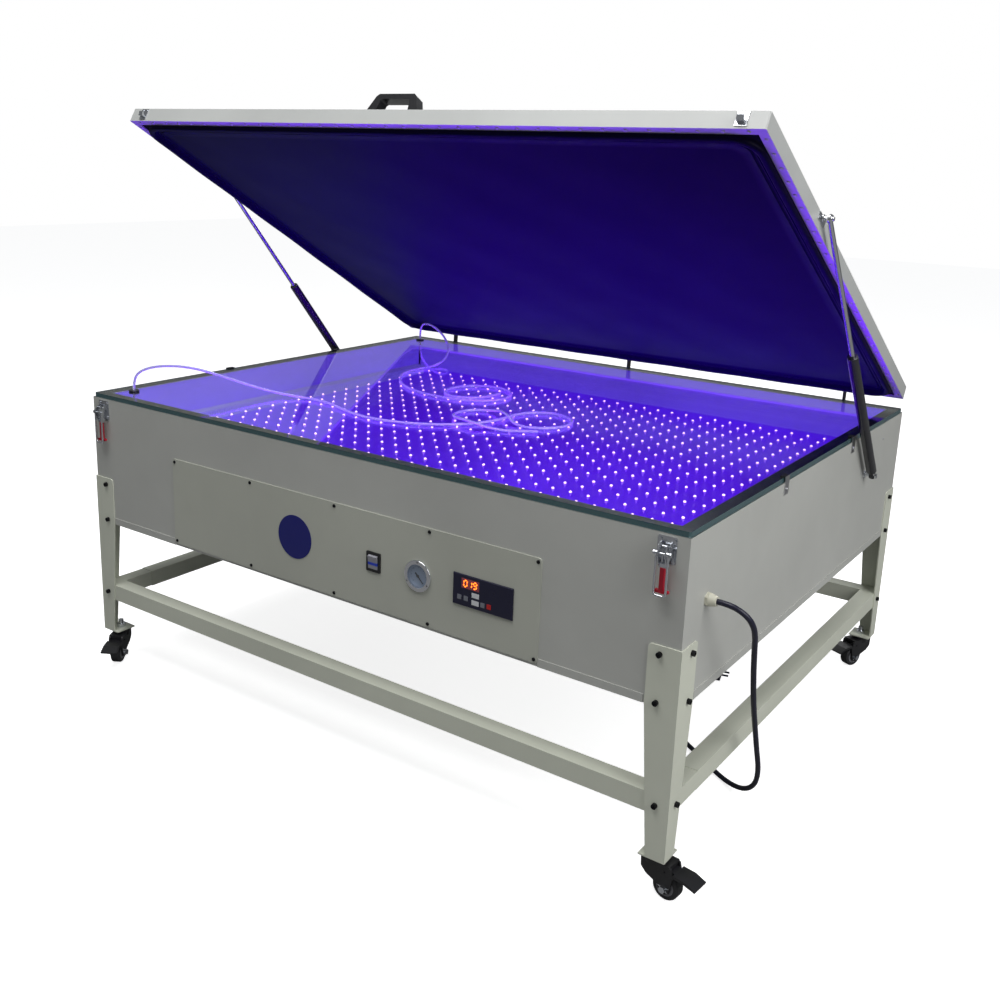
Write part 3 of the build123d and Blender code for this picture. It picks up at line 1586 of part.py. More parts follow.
def cord_coil():
    edges = coil_path()
    path = Wire([edge for edge in edges])
    start = Plane(origin=path @ 0, z_dir=path % 0)
    solid = sweep(start * Circle(cord_diameter / 2), path=path)
    expected = path.length * math.pi * cord_diameter**2 / 4
    print("cord_coil length", round(path.length, 1), "volume ratio", round(solid.volume / expected, 5))
    samples = []
    for edge in edges:
        samples.extend([edge @ (index / 24) for index in range(24)])
    least = expected
    apart = int(len(samples) / coil_length_in_turns() / 2)
    for index, here in enumerate(samples):
        for other in samples[index + apart:]:
            least = min(least, (here - other).length)
    print("cord_coil least gap to itself", round(least - cord_diameter, 2))
    save("cord_coil", solid)


def plug():
    """Two-pin plug lying on the floor at the end of the coil."""
    way = coil_tail_way()
    end = coil_end()
    plane = Plane(origin=end, x_dir=(0, 0, 1), z_dir=(way.X, way.Y, 0))
    half = end.Z - soft_clearance
    relief = Pos(0, 0, 11.0) * Cone(cord_diameter / 2 + 1.0, cord_diameter / 2 + 3.0, 22.0)
    body = Pos(0, 0, 22.0 + plug_length / 2) * Box(2 * half, 37.0, plug_length)
    body = fillet(body.edges().filter_by(Axis.Z), 8.0)
    pins = []
    for side in (-9.5, 9.5):
        pin = Pos(0, side, 22.0 + plug_length + 9.5) * Cylinder(2.4, 19.0)
        pins.append(pin)
    save("plug", plane.location * (relief + body + pins))


# ---------------------------------------------------------------- build

def main():
    os.makedirs("parts", exist_ok=True)
    cabinet_walls()
    bottom_tray()
    control_panel()
    glass_plate()
    glass_clips()
    led_board()
    led_lamps()
    wiring_duct()
    vacuum_pump()
    power_supply()
    switch_housing()
    switch_rocker()
    vacuum_gauge()
    gauge_lens()
    gauge_needle()
    timer_unit()
    legs()
    rails()
    fasteners()
    casters()
    lid_frame()
    clamp_strips()
    blanket()
    lid_handle()
    lid_brackets()
    hinge_brackets()
    struts()
    latches()
    hoses()
    grommets()
    cord_gland()
    save("power_cord", tube(power_cord_points(), cord_diameter, 0.0, "power_cord"))
    cord_coil()
    plug()
    print("strut open, closed, angles", [round(value, 4) for value in strut_geometry()])


main()
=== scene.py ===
import bpy
import math
from mathutils import Matrix, Vector


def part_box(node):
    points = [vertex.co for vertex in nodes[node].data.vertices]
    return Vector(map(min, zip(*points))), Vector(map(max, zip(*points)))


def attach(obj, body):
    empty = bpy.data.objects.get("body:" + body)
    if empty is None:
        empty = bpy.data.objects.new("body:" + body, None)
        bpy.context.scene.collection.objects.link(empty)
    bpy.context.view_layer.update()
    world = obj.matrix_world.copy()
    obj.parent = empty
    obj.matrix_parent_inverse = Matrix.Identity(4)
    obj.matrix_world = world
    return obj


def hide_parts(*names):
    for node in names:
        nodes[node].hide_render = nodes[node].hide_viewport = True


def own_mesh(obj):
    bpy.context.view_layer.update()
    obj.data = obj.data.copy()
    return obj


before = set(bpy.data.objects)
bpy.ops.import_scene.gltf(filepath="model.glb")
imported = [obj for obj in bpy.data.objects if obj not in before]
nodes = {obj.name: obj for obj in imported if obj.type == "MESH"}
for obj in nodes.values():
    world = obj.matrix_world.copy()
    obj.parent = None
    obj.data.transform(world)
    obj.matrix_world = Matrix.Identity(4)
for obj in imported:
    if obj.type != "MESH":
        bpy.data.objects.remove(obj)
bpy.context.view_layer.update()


# ------------------------------------------------------------ node helpers

def new_material(name):
    material = bpy.data.materials.new(name)
    material.use_nodes = True
    tree = material.node_tree
    tree.nodes.clear()
    out = tree.nodes.new("ShaderNodeOutputMaterial")
    shader = tree.nodes.new("ShaderNodeBsdfPrincipled")
    tree.links.new(shader.outputs["BSDF"], out.inputs["Surface"])
    return material, tree, shader


def coords(tree, scale=(1.0, 1.0, 1.0)):
    place = tree.nodes.new("ShaderNodeTexCoord")
    mapping = tree.nodes.new("ShaderNodeMapping")
    mapping.inputs["Scale"].default_value = scale
    tree.links.new(place.outputs["Object"], mapping.inputs["Vector"])
    return mapping.outputs["Vector"]


def noise(tree, scale, detail=3.0, rough=0.5, stretch=(1.0, 1.0, 1.0)):
    node = tree.nodes.new("ShaderNodeTexNoise")
    node.inputs["Scale"].default_value = scale
    node.inputs["Detail"].default_value = detail
    node.inputs["Roughness"].default_value = rough
    tree.links.new(coords(tree, stretch), node.inputs["Vector"])
    return node.outputs["Fac"]


def ramp(tree, value, stops):
    node = tree.nodes.new("ShaderNodeValToRGB")
    elements = node.color_ramp.elements
    while len(elements) < len(stops):
        elements.new(0.5)
    for element, (place, colour) in zip(elements, stops):
        element.position = place
        element.color = colour if len(colour) == 4 else (*colour, 1.0)
    tree.links.new(value, node.inputs["Fac"])
    return node.outputs["Color"]


def remap(tree, value, low, high):
    node = tree.nodes.new("ShaderNodeMapRange")
    node.inputs["To Min"].default_value = low
    node.inputs["To Max"].default_value = high
    tree.links.new(value, node.inputs["Value"])
    return node.outputs["Result"]


def bump(tree, shader, value, strength, distance):
    node = tree.nodes.new("ShaderNodeBump")
    node.inputs["Strength"].default_value = strength
    node.inputs["Distance"].default_value = distance
    tree.links.new(value, node.inputs["Height"])
    tree.links.new(node.outputs["Normal"], shader.inputs["Normal"])


def linear(r, g, b):
    """Linear colour from 0 to 255 screen values."""
    def one(c):
        c = c / 255.0
        return c / 12.92 if c <= 0.04045 else ((c + 0.055) / 1.055) ** 2.4
    return (one(r), one(g), one(b))


def shade(colour, factor):
    return tuple(min(channel * factor, 1.0) for channel in colour)


def coated(name, colour, rough=0.38, grain=900.0, depth=0.00012, spread=0.06, coat=0.0):
    """Powder coat or moulded skin: fine orange peel, soft colour drift, uneven gloss."""
    material, tree, shader = new_material(name)
    drift = noise(tree, 3.0, 4.0, 0.6)
    tree.links.new(ramp(tree, drift, [(0.3, shade(colour, 1 - spread)), (0.7, shade(colour, 1 + spread))]),
                   shader.inputs["Base Color"])
    peel = noise(tree, grain, 2.0, 0.5)
    gloss = noise(tree, 14.0, 4.0, 0.6)
    tree.links.new(remap(tree, gloss, rough - 0.06, rough + 0.08), shader.inputs["Roughness"])
    bump(tree, shader, peel, 0.25, depth)
    if coat:
        shader.inputs["Coat Weight"].default_value = coat
        shader.inputs["Coat Roughness"].default_value = 0.15
    return material


def metal(name, colour, rough=0.25, stretch=(1.0, 1.0, 60.0), grain=400.0):
    """Bare or plated metal with fine drawn lines and uneven polish."""
    material, tree, shader = new_material(name)
    lines = noise(tree, grain, 3.0, 0.6, stretch)
    tree.links.new(ramp(tree, lines, [(0.3, shade(colour, 0.86)), (0.7, colour)]), shader.inputs["Base Color"])
    tree.links.new(remap(tree, lines, rough - 0.07, rough + 0.1), shader.inputs["Roughness"])
    shader.inputs["Metallic"].default_value = 1.0
    bump(tree, shader, lines, 0.1, 0.00005)
    return material


def rubber(name, colour, rough=0.55):
    """Matte rubber with fine pores and faint dust."""
    material, tree, shader = new_material(name)
    dust = noise(tree, 25.0, 6.0, 0.7)
    tree.links.new(ramp(tree, dust, [(0.35, colour), (0.75, shade(colour, 1.6))]), shader.inputs["Base Color"])
    tree.links.new(remap(tree, noise(tree, 60.0, 3.0), rough - 0.08, rough + 0.08), shader.inputs["Roughness"])
    bump(tree, shader, noise(tree, 1500.0, 2.0), 0.2, 0.0001)
    return material


def blanket_rubber(name, colour):
    """Smooth dark rubber: long soft waves, faint bloom, low even gloss."""
    material, tree, shader = new_material(name)
    bloom = noise(tree, 2.4, 3.0, 0.5)
    tree.links.new(ramp(tree, bloom, [(0.3, shade(colour, 0.85)), (0.7, shade(colour, 1.12))]),
                   shader.inputs["Base Color"])
    tree.links.new(remap(tree, noise(tree, 9.0, 3.0), 0.34, 0.44), shader.inputs["Roughness"])
    shader.inputs["Specular IOR Level"].default_value = 0.06
    bump(tree, shader, noise(tree, 5.0, 2.0), 0.12, 0.004)
    return material


def clear(name, colour, rough, ior):
    """Clear glass or plastic with faint smears in its gloss, which lets light through to what is behind."""
    material, tree, shader = new_material(name)
    out = next(node for node in tree.nodes if node.type == "OUTPUT_MATERIAL")
    see_through = tree.nodes.new("ShaderNodeBsdfTransparent")
    see_through.inputs["Color"].default_value = (*colour, 1.0)
    ray = tree.nodes.new("ShaderNodeLightPath")
    either = tree.nodes.new("ShaderNodeMath")
    either.operation = "MAXIMUM"
    tree.links.new(ray.outputs["Is Shadow Ray"], either.inputs[0])
    tree.links.new(ray.outputs["Is Diffuse Ray"], either.inputs[1])
    mixed = tree.nodes.new("ShaderNodeMixShader")
    tree.links.new(either.outputs["Value"], mixed.inputs["Fac"])
    tree.links.new(shader.outputs["BSDF"], mixed.inputs[1])
    tree.links.new(see_through.outputs["BSDF"], mixed.inputs[2])
    tree.links.new(mixed.outputs["Shader"], out.inputs["Surface"])
    smear = noise(tree, 6.0, 5.0, 0.65)
    tree.links.new(remap(tree, smear, rough, rough + 0.02), shader.inputs["Roughness"])
    tree.links.new(ramp(tree, smear, [(0.3, shade(colour, 0.97)), (0.7, colour)]), shader.inputs["Base Color"])
    shader.inputs["Transmission Weight"].default_value = 1.0
    shader.inputs["IOR"].default_value = ior
    return material


def milky(name, colour, glow):
    """Soft clear tube: part see-through, part pale, with a painted violet glow for the lamps' light it catches.
    """
    material, tree, shader = new_material(name)
    haze = noise(tree, 30.0, 3.0, 0.5)
    tree.links.new(ramp(tree, haze, [(0.3, shade(colour, 0.92)), (0.7, colour)]), shader.inputs["Base Color"])
    tree.links.new(remap(tree, haze, 0.10, 0.20), shader.inputs["Roughness"])
    # painted glow standing for the lamps' light in the tube
    tree.links.new(ramp(tree, noise(tree, 4.0, 2.0), [(0.3, shade(glow, 0.7)), (0.7, glow)]),
                   shader.inputs["Emission Color"])
    shader.inputs["Emission Strength"].default_value = 0.11
    shader.inputs["Transmission Weight"].default_value = 0.74
    shader.inputs["IOR"].default_value = 1.40
    return material


def glowing(name, colour, glow, strength, rough=0.4, low=0.7):
    """Surface that gives off light varying softly over it: true light for the lamps and the timer display,
    painted light from the lamps for the LED board, wiring duct and inner walls.
    """
    material, tree, shader = new_material(name)
    drift = noise(tree, 2.2, 3.0, 0.6)
    tree.links.new(ramp(tree, noise(tree, 40.0, 3.0), [(0.3, shade(colour, 0.9)), (0.7, colour)]),
                   shader.inputs["Base Color"])
    tree.links.new(ramp(tree, drift, [(0.3, shade(glow, low)), (0.7, glow)]), shader.inputs["Emission Color"])
    shader.inputs["Emission Strength"].default_value = strength
    shader.inputs["Roughness"].default_value = rough
    return material


# ------------------------------------------------------------ materials of the CAD nodes

paint = linear(187, 188, 183)
leg_paint = linear(213, 216, 201)
# violet glow painted on the LED board, standing for the lamps' light falling on it
painted_board_glow = (0.085, 0.0006, 0.80)
materials = {
    "sheet": coated("sheet", paint, 0.42),
    "panel": coated("panel", linear(187, 189, 178), 0.36),
    "leg": coated("leg", leg_paint, 0.40),
    "lid": coated("lid", linear(187, 189, 187), 0.38),
    # LED board: its violet colour and glow are painted light from the lamps
    "board": glowing("board", linear(84, 48, 200), painted_board_glow, 1.12, low=0.72),
    "barrel": glowing("barrel", linear(120, 70, 230), (0.34, 0.07, 1.0), 0.9, 0.15),
    "lamp": glowing("lamp", linear(240, 225, 255), linear(255, 205, 255), 3.6, 0.1, 0.9),
    # wiring duct: its violet-blue colour and glow are painted light from the lamps
    "duct": glowing("duct", linear(150, 150, 205), (0.22, 0.12, 0.95), 0.55, 0.5),
    "glass": clear("glass", (0.95, 0.985, 0.98), 0.0, 1.50),
    "glass_edge": coated("glass_edge", linear(66, 92, 96), 0.15, 400.0),
    "clip": metal("clip", (0.62, 0.62, 0.64), 0.3),
    "pad": rubber("pad", (0.012, 0.012, 0.013)),
    "pump": coated("pump", linear(70, 76, 84), 0.5),
    "supply": metal("supply", (0.6, 0.61, 0.63), 0.4),
    "black": coated("black", (0.012, 0.012, 0.014), 0.3),
    "black_steel": coated("black_steel", (0.014, 0.014, 0.016), 0.35),
    "bolt": metal("bolt", (0.03, 0.03, 0.034), 0.32),
    "rocker": coated("rocker", linear(120, 122, 126), 0.28),
    "chrome": metal("chrome", (0.80, 0.81, 0.84), 0.14),
    "plated": metal("plated", (0.70, 0.72, 0.76), 0.2),
    "flange": metal("flange", (0.60, 0.60, 0.58), 0.3, (1.0, 1.0, 1.0), 700.0),
    "dial": coated("dial", linear(150, 165, 185), 0.5),
    "lens": clear("lens", (0.97, 0.98, 1.0), 0.0, 1.45),
    "timer": coated("timer", linear(16, 16, 48), 0.28),
    "window": glowing("window", linear(120, 70, 78), linear(150, 40, 40), 0.22, 0.25),
    "gland": coated("gland", linear(216, 214, 196), 0.42),
    "jacket": rubber("jacket", linear(22, 22, 42), 0.36),
    "strut": coated("strut", (0.012, 0.012, 0.016), 0.2, coat=0.5),
    "grip": coated("grip", linear(168, 14, 40), 0.32),
    "tyre": rubber("tyre", (0.02, 0.02, 0.022)),
    "hub": coated("hub", linear(120, 120, 125), 0.4),
    # clamp strip: its grey is its own colour, the violet tint is painted lamp light under the lid
    "strip": coated("strip", linear(176, 170, 190), 0.4),
    # blanket: its near-black is the rubber's own colour, the violet tint is painted lamp light
    "blanket": blanket_rubber("blanket", (0.0022, 0.0006, 0.0175)),
    "digit": glowing("digit", linear(255, 120, 30), linear(255, 105, 25), 5.0, low=0.9),
    "mark": coated("mark", linear(40, 46, 70), 0.5),
    # inner wall faces: violet colour and glow are painted light from the lamps falling on them
    "inner": glowing("inner", linear(150, 140, 220), (0.19, 0.08, 0.95), 0.72, 0.08),
    "badge": coated("badge", linear(10, 17, 112), 0.36),
    "key_grey": coated("key_grey", linear(120, 122, 132), 0.4),
    "key_white": coated("key_white", linear(215, 216, 220), 0.4),
    "key_red": coated("key_red", linear(190, 30, 30), 0.4),
    "hose": milky("hose", (0.86, 0.86, 1.0), (0.32, 0.22, 1.0)),
}


def banded(material, lower, upper, colour, band, rest):
    """Colours a level band of a small piece, softly edged, over its own base colour."""
    tree = material.node_tree
    shader = next(node for node in tree.nodes if node.type == "BSDF_PRINCIPLED")
    place = tree.nodes.new("ShaderNodeTexCoord")
    split = tree.nodes.new("ShaderNodeSeparateXYZ")
    tree.links.new(place.outputs["Object"], split.inputs["Vector"])
    height = tree.nodes.new("ShaderNodeMapRange")
    height.inputs["From Min"].default_value = lower
    height.inputs["From Max"].default_value = upper
    tree.links.new(split.outputs["Z"], height.inputs["Value"])
    low_edge, high_edge = band
    soft = 0.04
    stops = [
        (low_edge - soft, rest),
        (low_edge + soft, colour),
        (high_edge - soft, colour),
        (high_edge + soft, rest),
    ]
    tree.links.new(ramp(tree, height.outputs["Result"], stops), shader.inputs["Base Color"])


rocker_low, rocker_high = 0.4455, 0.4745
banded(materials["rocker"], rocker_low, rocker_high, linear(20, 60, 200), (0.30, 0.50), linear(150, 150, 158))

looks = {
    "cabinet_walls": "sheet", "bottom_tray": "sheet", "control_panel": "panel", "glass_plate": "glass",
    "glass_clips": "clip", "led_board": "board", "led_lamps": "lamp", "wiring_duct": "duct",
    "vacuum_pump": "pump", "power_supply": "supply", "glass_grommets": "black", "hose_front": "hose",
    "hose_rear": "hose", "switch_housing": "black", "switch_rocker": "rocker", "vacuum_gauge": "chrome",
    "gauge_lens": "lens", "gauge_needle": "black", "timer_unit": "timer", "fasteners": "bolt",
    "strut_studs": "plated", "hinge_brackets": "black_steel", "latch_bases": "plated",
    "cord_gland": "gland", "power_cord": "jacket", "cord_coil": "jacket", "plug": "jacket",
    "lid_frame": "lid", "clamp_strips": "strip", "blanket": "blanket", "lid_handle": "black",
    "lid_brackets": "plated",
}
for name in nodes:
    if name.startswith(("leg_", "rail_")):
        looks[name] = "leg"
    elif name.startswith("strut_cylinder"):
        looks[name] = "strut"
    elif name.startswith("strut_rod"):
        looks[name] = "chrome"
    elif name.startswith("latch_lever"):
        looks[name] = "plated"
    elif name.startswith("latch_bail"):
        looks[name] = "plated"
    elif name.startswith("caster_fork"):
        looks[name] = "black_steel"
    elif name.startswith("caster_wheel"):
        looks[name] = "tyre"
    elif name.startswith("caster_brake"):
        looks[name] = "black"

for name, obj in nodes.items():
    obj.data.materials.clear()
    obj.data.materials.append(materials[looks[name]])


def second(name, key, test):
    """Gives the faces that test(centre, normal) picks a second material."""
    mesh = nodes[name].data
    mesh.materials.append(materials[key])
    index = len(mesh.materials) - 1
    for polygon in mesh.polygons:
        if test(polygon.center, polygon.normal):
            polygon.material_index = index


def near_axis(point, axis_point, axis_way, radius):
    away = Vector(point) - Vector(axis_point)
    return (away - Vector(axis_way) * away.dot(Vector(axis_way))).length < radius


box_half_x, box_half_y = 0.75, 0.60
wall_sheet = 0.002
glass_rim = 0.005
hair = 0.0003
flange_level = 0.6555
badge_place, badge_reach, badge_front = (-0.104, 0.0, 0.462), 0.0462, -0.6021
gauge_place, dial_reach, dial_depth = (0.215, 0.0, 0.459), 0.0232, -0.600
gauge_case_front = -0.5995
clip_pad_level = 0.66551
caster_bolt_level = 0.11
grip_level = 0.6021
lamp_dome = 0.0034
y_way = (0.0, 1.0, 0.0)
lamp_low, lamp_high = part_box("led_lamps")


def on_glass_rim(c, n):
    return abs(n.z) < 0.5 and (abs(c.x) > box_half_x - glass_rim or abs(c.y) > box_half_y - glass_rim)


# inner faces of the walls, which get the painted lamp light
def inner_walls_with_painted_glow(c, n):
    on_side = abs(abs(c.x) - (box_half_x - wall_sheet)) < hair and n.x * c.x < 0
    on_end = abs(abs(c.y) - (box_half_y - wall_sheet)) < hair and n.y * c.y < 0
    return on_side or on_end


def on_dial(c, n):
    return abs(c.y - dial_depth) < 0.0004 and near_axis(c, gauge_place, y_way, dial_reach)


second("glass_plate", "glass_edge", on_glass_rim)
# the inner wall faces get the painted violet lamp light
second("cabinet_walls", "inner", inner_walls_with_painted_glow)
second("led_lamps", "barrel", lambda c, n: c.z < lamp_high.z - lamp_dome)
second("cabinet_walls", "flange", lambda c, n: n.z > 0.9 and c.z > flange_level)
second("control_panel", "badge",
       lambda c, n: c.y < badge_front and near_axis(c, badge_place, y_way, badge_reach))
second("vacuum_gauge", "dial", on_dial)
second("vacuum_gauge", "black", lambda c, n: c.y > gauge_case_front)
second("glass_clips", "pad", lambda c, n: c.z > clip_pad_level)
second("fasteners", "plated", lambda c, n: c.z < caster_bolt_level)
for side in ("left", "right"):
    second("latch_lever_" + side, "grip", lambda c, n: c.z < grip_level)

stem_x, stem_y = 0.725, 0.575
wheel_trail, wheel_radius = 0.027, 0.025
hub_reach, axle_reach = 0.0166, 0.0075
casters = {
    "front_left": (-1, -1, -58.0),
    "front_right": (1, -1, -5.0),
    "rear_left": (-1, 1, 135.0),
    "rear_right": (1, 1, -115.0),
}
for name, (side_x, side_y, heading) in casters.items():
    angle = math.radians(heading)
    axle_x = side_x * stem_x + wheel_trail * math.cos(angle)
    axle_y = side_y * stem_y + wheel_trail * math.sin(angle)
    axle = (axle_x, axle_y, wheel_radius)
    axle_way = (-math.sin(angle), math.cos(angle), 0.0)
    second("caster_wheel_" + name, "hub", lambda c, n: near_axis(c, axle, axle_way, hub_reach))
    second("caster_fork_" + name, "plated", lambda c, n: near_axis(c, axle, axle_way, axle_reach))

key_front, key_half_width, key_half_height = -0.60502, 0.0085, 0.005
timer_keys = (
    (0.3135, 0.445, "key_grey"),
    (0.328, 0.445, "key_grey"),
    (0.349, 0.455, "key_white"),
    (0.349, 0.441, "key_white"),
    (0.365, 0.4415, "key_grey"),
    (0.379, 0.442, "key_red"),
)


def on_key(c, x, z):
    return c.y < key_front and abs(c.x - x) < key_half_width and abs(c.z - z) < key_half_height


for key_x, key_z, key_look in timer_keys:
    second("timer_unit", key_look, lambda c, n: on_key(c, key_x, key_z))


# ------------------------------------------------------------ hoses and cord

def smooth_tube(name, points, diameter, material):
    curve = bpy.data.curves.new(name, "CURVE")
    curve.dimensions = "3D"
    curve.bevel_depth = diameter / 2
    curve.bevel_resolution = 5
    curve.resolution_u = 8
    curve.use_fill_caps = True
    spline = curve.splines.new("NURBS")
    spline.points.add(len(points) - 1)
    for point, place in zip(spline.points, points):
        point.co = (*place, 1.0)
    spline.order_u = 3
    spline.use_endpoint_u = True
    curve.materials.append(material)
    obj = bpy.data.objects.new(name, curve)
    bpy.context.scene.collection.objects.link(obj)
    return obj


def as_mesh(piece):
    """The same tube as a smooth mesh."""
    graph = bpy.context.evaluated_depsgraph_get()
    mesh = bpy.data.meshes.new_from_object(piece.evaluated_get(graph))
    name = piece.name
    bpy.data.objects.remove(piece)
    mesh.name = name
    for polygon in mesh.polygons:
        polygon.use_smooth = True
    solid = bpy.data.objects.new(name, mesh)
    bpy.context.scene.collection.objects.link(solid)
    return solid


def metres(points):
    return [(x / 1000, y / 1000, z / 1000) for x, y, z in points]


glass_top = 665.5
hose_diameter = 6.0
hose_z = glass_top + hose_diameter / 2 + 0.3
hose_over = hose_z + 9.5
grommet_top = glass_top + 3.5
hose_front_points = metres([
    (-691, -531, grommet_top),
    (-691, -531, grommet_top + 28.0),
    (-674, -519, grommet_top + 49.0),
    (-637, -495, grommet_top + 60.0),
    (-585, -461, grommet_top + 60.0),
    (-530, -425, grommet_top + 46.0),
    (-475, -389, grommet_top + 26.0),
    (-420, -350, grommet_top + 8.0),
    (-355, -320, hose_z),
    (-290, -314, hose_z),
    (-215, -343, hose_z),
    (-140, -368, hose_z),
    (-70, -366, hose_z),
    (-5, -344, hose_z),
    (54, -302, hose_z),
    (92, -246, hose_z),
    (108, -185, hose_z),
    (103, -125, hose_z),
    (125, -68, hose_z),
    (178, -50, hose_z),
    (235, -84, hose_z),
    (250, -145, hose_z),
    (218, -196, hose_z),
    (166, -211, hose_z),
    (124, -180, hose_over),
    (84, -146, hose_over),
    (38, -129, hose_z),
    (-1, -158, hose_z),
    (0, -212, hose_z),
    (38, -264, hose_over),
    (92, -276, hose_over),
    (146, -269, hose_z),
    (192, -250, hose_z),
    (226, -220, hose_z),
])
hose_rear_points = metres([
    (-691, 543, grommet_top),
    (-691, 543, grommet_top + 26.0),
    (-674, 530, grommet_top + 46.0),
    (-634, 499, grommet_top + 58.0),
    (-578, 456, grommet_top + 63.0),
    (-516, 408, grommet_top + 60.0),
    (-458, 364, grommet_top + 48.0),
    (-412, 320, grommet_top + 29.0),
    (-384, 267, grommet_top + 10.0),
    (-377, 205, hose_z),
    (-386, 140, hose_z),
    (-376, 74, hose_z),
    (-340, 16, hose_z),
    (-292, -36, hose_z),
    (-234, -73, hose_z),
    (-170, -90, hose_z),
    (-104, -88, hose_z),
    (-42, -72, hose_z),
    (-4, -28, hose_z),
    (-8, 28, hose_z),
    (-40, 78, hose_z),
    (-92, 99, hose_z),
    (-144, 77, hose_z),
    (-172, 26, hose_z),
    (-164, -32, hose_z),
    (-124, -68, hose_z),
    (-74, -58, hose_z),
    (-44, -14, hose_z),
    (-48, 38, hose_z),
])
hose_front = as_mesh(
    smooth_tube("vacuum_hose_front", hose_front_points, hose_diameter / 1000, materials["hose"]))
hose_rear = as_mesh(
    smooth_tube("vacuum_hose_rear", hose_rear_points, hose_diameter / 1000, materials["hose"]))
for piece, node, points, length in (
    (hose_front, "hose_front", hose_front_points, 1.90),
    (hose_rear, "hose_rear", hose_rear_points, 1.62),
):
    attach(piece, "cabinet")
    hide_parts(node)
    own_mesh(piece)

cord_diameter = 10.0
cord_z = cord_diameter / 2 + 0.3
coil_turns = 3
coil_pitch = cord_diameter + 0.6
coil_mean_radius = 55.0
coil_middle = (330.0, 190.0)
coil_entry_angle = 233.0
coil_tail_turn = 50.0
coil_tail_radius = 50.0
gland_tip = (768.0, -515.0, 529.0)
points_per_turn = 16


def coil_place(turn):
    half_turn = 0.5
    outer = coil_mean_radius + coil_pitch * coil_turns / 2
    reversal = coil_turns + half_turn / 2
    radius = outer - coil_pitch * (reversal - abs(turn - reversal))
    part = min(max((turn - coil_turns) / half_turn, 0.0), 1.0)
    z = cord_z + coil_pitch * part * part * (3 - 2 * part)
    angle = math.radians(coil_entry_angle) - 2 * math.pi * turn
    return Vector((coil_middle[0] + radius * math.cos(angle), coil_middle[1] + radius * math.sin(angle), z))


def level_way(turn):
    way = coil_place(turn + 0.0005) - coil_place(turn - 0.0005)
    return Vector((way.x, way.y, 0.0)).normalized()


def coil_control_points():
    """Spiral control points, set out a little so that the smooth line has the coil's own radius."""
    count = int((2 * coil_turns + 0.5) * points_per_turn)
    swell = 1 / (0.75 + 0.25 * math.cos(2 * math.pi / points_per_turn))
    points = []
    for index in range(count + 1):
        place = coil_place(index / points_per_turn)
        points.append((
            coil_middle[0] + (place.x - coil_middle[0]) * swell,
            coil_middle[1] + (place.y - coil_middle[1]) * swell,
            place.z,
        ))
    return points


coil_total = 2 * coil_turns + 0.5
way_in = level_way(0.0)
way_out = level_way(coil_total)
entry = coil_place(0.0)
last = coil_place(coil_total)
tail_left = Vector((-way_out.y, way_out.x, 0.0))
tail_angle = math.radians(coil_tail_turn)
tail_start = (last + way_out * (coil_tail_radius * math.sin(tail_angle))
              + tail_left * (coil_tail_radius * (1 - math.cos(tail_angle))))
tail_way = way_out * math.cos(tail_angle) + tail_left * math.sin(tail_angle)
tail_corner = last + way_out * (coil_tail_radius * math.tan(tail_angle / 2))
coil_end = tail_start + tail_way * cord_diameter
approach = entry - way_in * 80.0

mains_points = metres(
    [
        gland_tip,
        (gland_tip[0] + 20.0, gland_tip[1], gland_tip[2]),
        (gland_tip[0] + 39.0, gland_tip[1] + 4.0, gland_tip[2] - 7.0),
        (gland_tip[0] + 52.5, gland_tip[1] + 12.0, gland_tip[2] - 20.0),
        (gland_tip[0] + 58.0, gland_tip[1] + 23.0, gland_tip[2] - 38.5),
        (gland_tip[0] + 56.0, gland_tip[1] + 38.0, gland_tip[2] - 62.0),
        (gland_tip[0] + 50.0, gland_tip[1] + 58.0, gland_tip[2] - 96.0),
        (809, -424, 376),
        (800, -383, 302),
        (793, -340, 232),
        (787, -300, 166),
        (782, -263, 106),
        (768, -232, 54),
        (738, -206, 19),
        (694, -180, cord_z),
        (640, -146, cord_z),
        (586, -106, cord_z),
        (530, -68, cord_z),
        (474, -25, cord_z),
        (414, 28, cord_z),
        tuple(approach),
    ]
    + coil_control_points()
    + [tuple(tail_corner), tuple(coil_end)]
)
mains_cord = smooth_tube("mains_cord", mains_points, cord_diameter / 1000, materials["jacket"])
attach(mains_cord, "cabinet")
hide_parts("power_cord", "cord_coil")


# ------------------------------------------------------------ rubber blanket under the lid

lid_half_x, lid_half_y = 0.754, 0.595
lid_low = 0.6775
blanket_low = lid_low + 0.002
blanket_high = blanket_low + 0.002
bead_low = lid_low - 0.0095
bead_offset, bead_across, bead_edge = 0.017, 0.014, 0.0045
bead_corner = 0.055
hinge_y, hinge_z = 0.614, 0.720
open_angle = math.radians(29.3)


def opened(x, y, z):
    """Where a point of the closed lid is when the lid is open."""
    dy, dz = y - hinge_y, z - hinge_z
    return (x, hinge_y + dy * math.cos(open_angle) + dz * math.sin(open_angle),
            hinge_z - dy * math.sin(open_angle) + dz * math.cos(open_angle))


def rounded_ring(offset, radius):
    """Points of a rounded rectangle that lies offset inside the lid's edge."""
    half_x, half_y = lid_half_x - offset, lid_half_y - offset
    corner_steps, long_steps, short_steps = 10, 44, 34
    centres = [(half_x - radius, half_y - radius), (radius - half_x, half_y - radius),
               (radius - half_x, radius - half_y), (half_x - radius, radius - half_y)]
    points = []
    for side, (centre_x, centre_y) in enumerate(centres):
        for step in range(corner_steps + 1):
            angle = math.radians(90 * (side + step / corner_steps))
            points.append((centre_x + radius * math.cos(angle), centre_y + radius * math.sin(angle)))
        start = points[-1]
        next_x, next_y = centres[(side + 1) % 4]
        turn = math.radians(90 * (side + 1))
        end = (next_x + radius * math.cos(turn), next_y + radius * math.sin(turn))
        steps = long_steps if side % 2 == 0 else short_steps
        for step in range(1, steps):
            part = step / steps
            points.append((start[0] + (end[0] - start[0]) * part, start[1] + (end[1] - start[1]) * part))
    return points


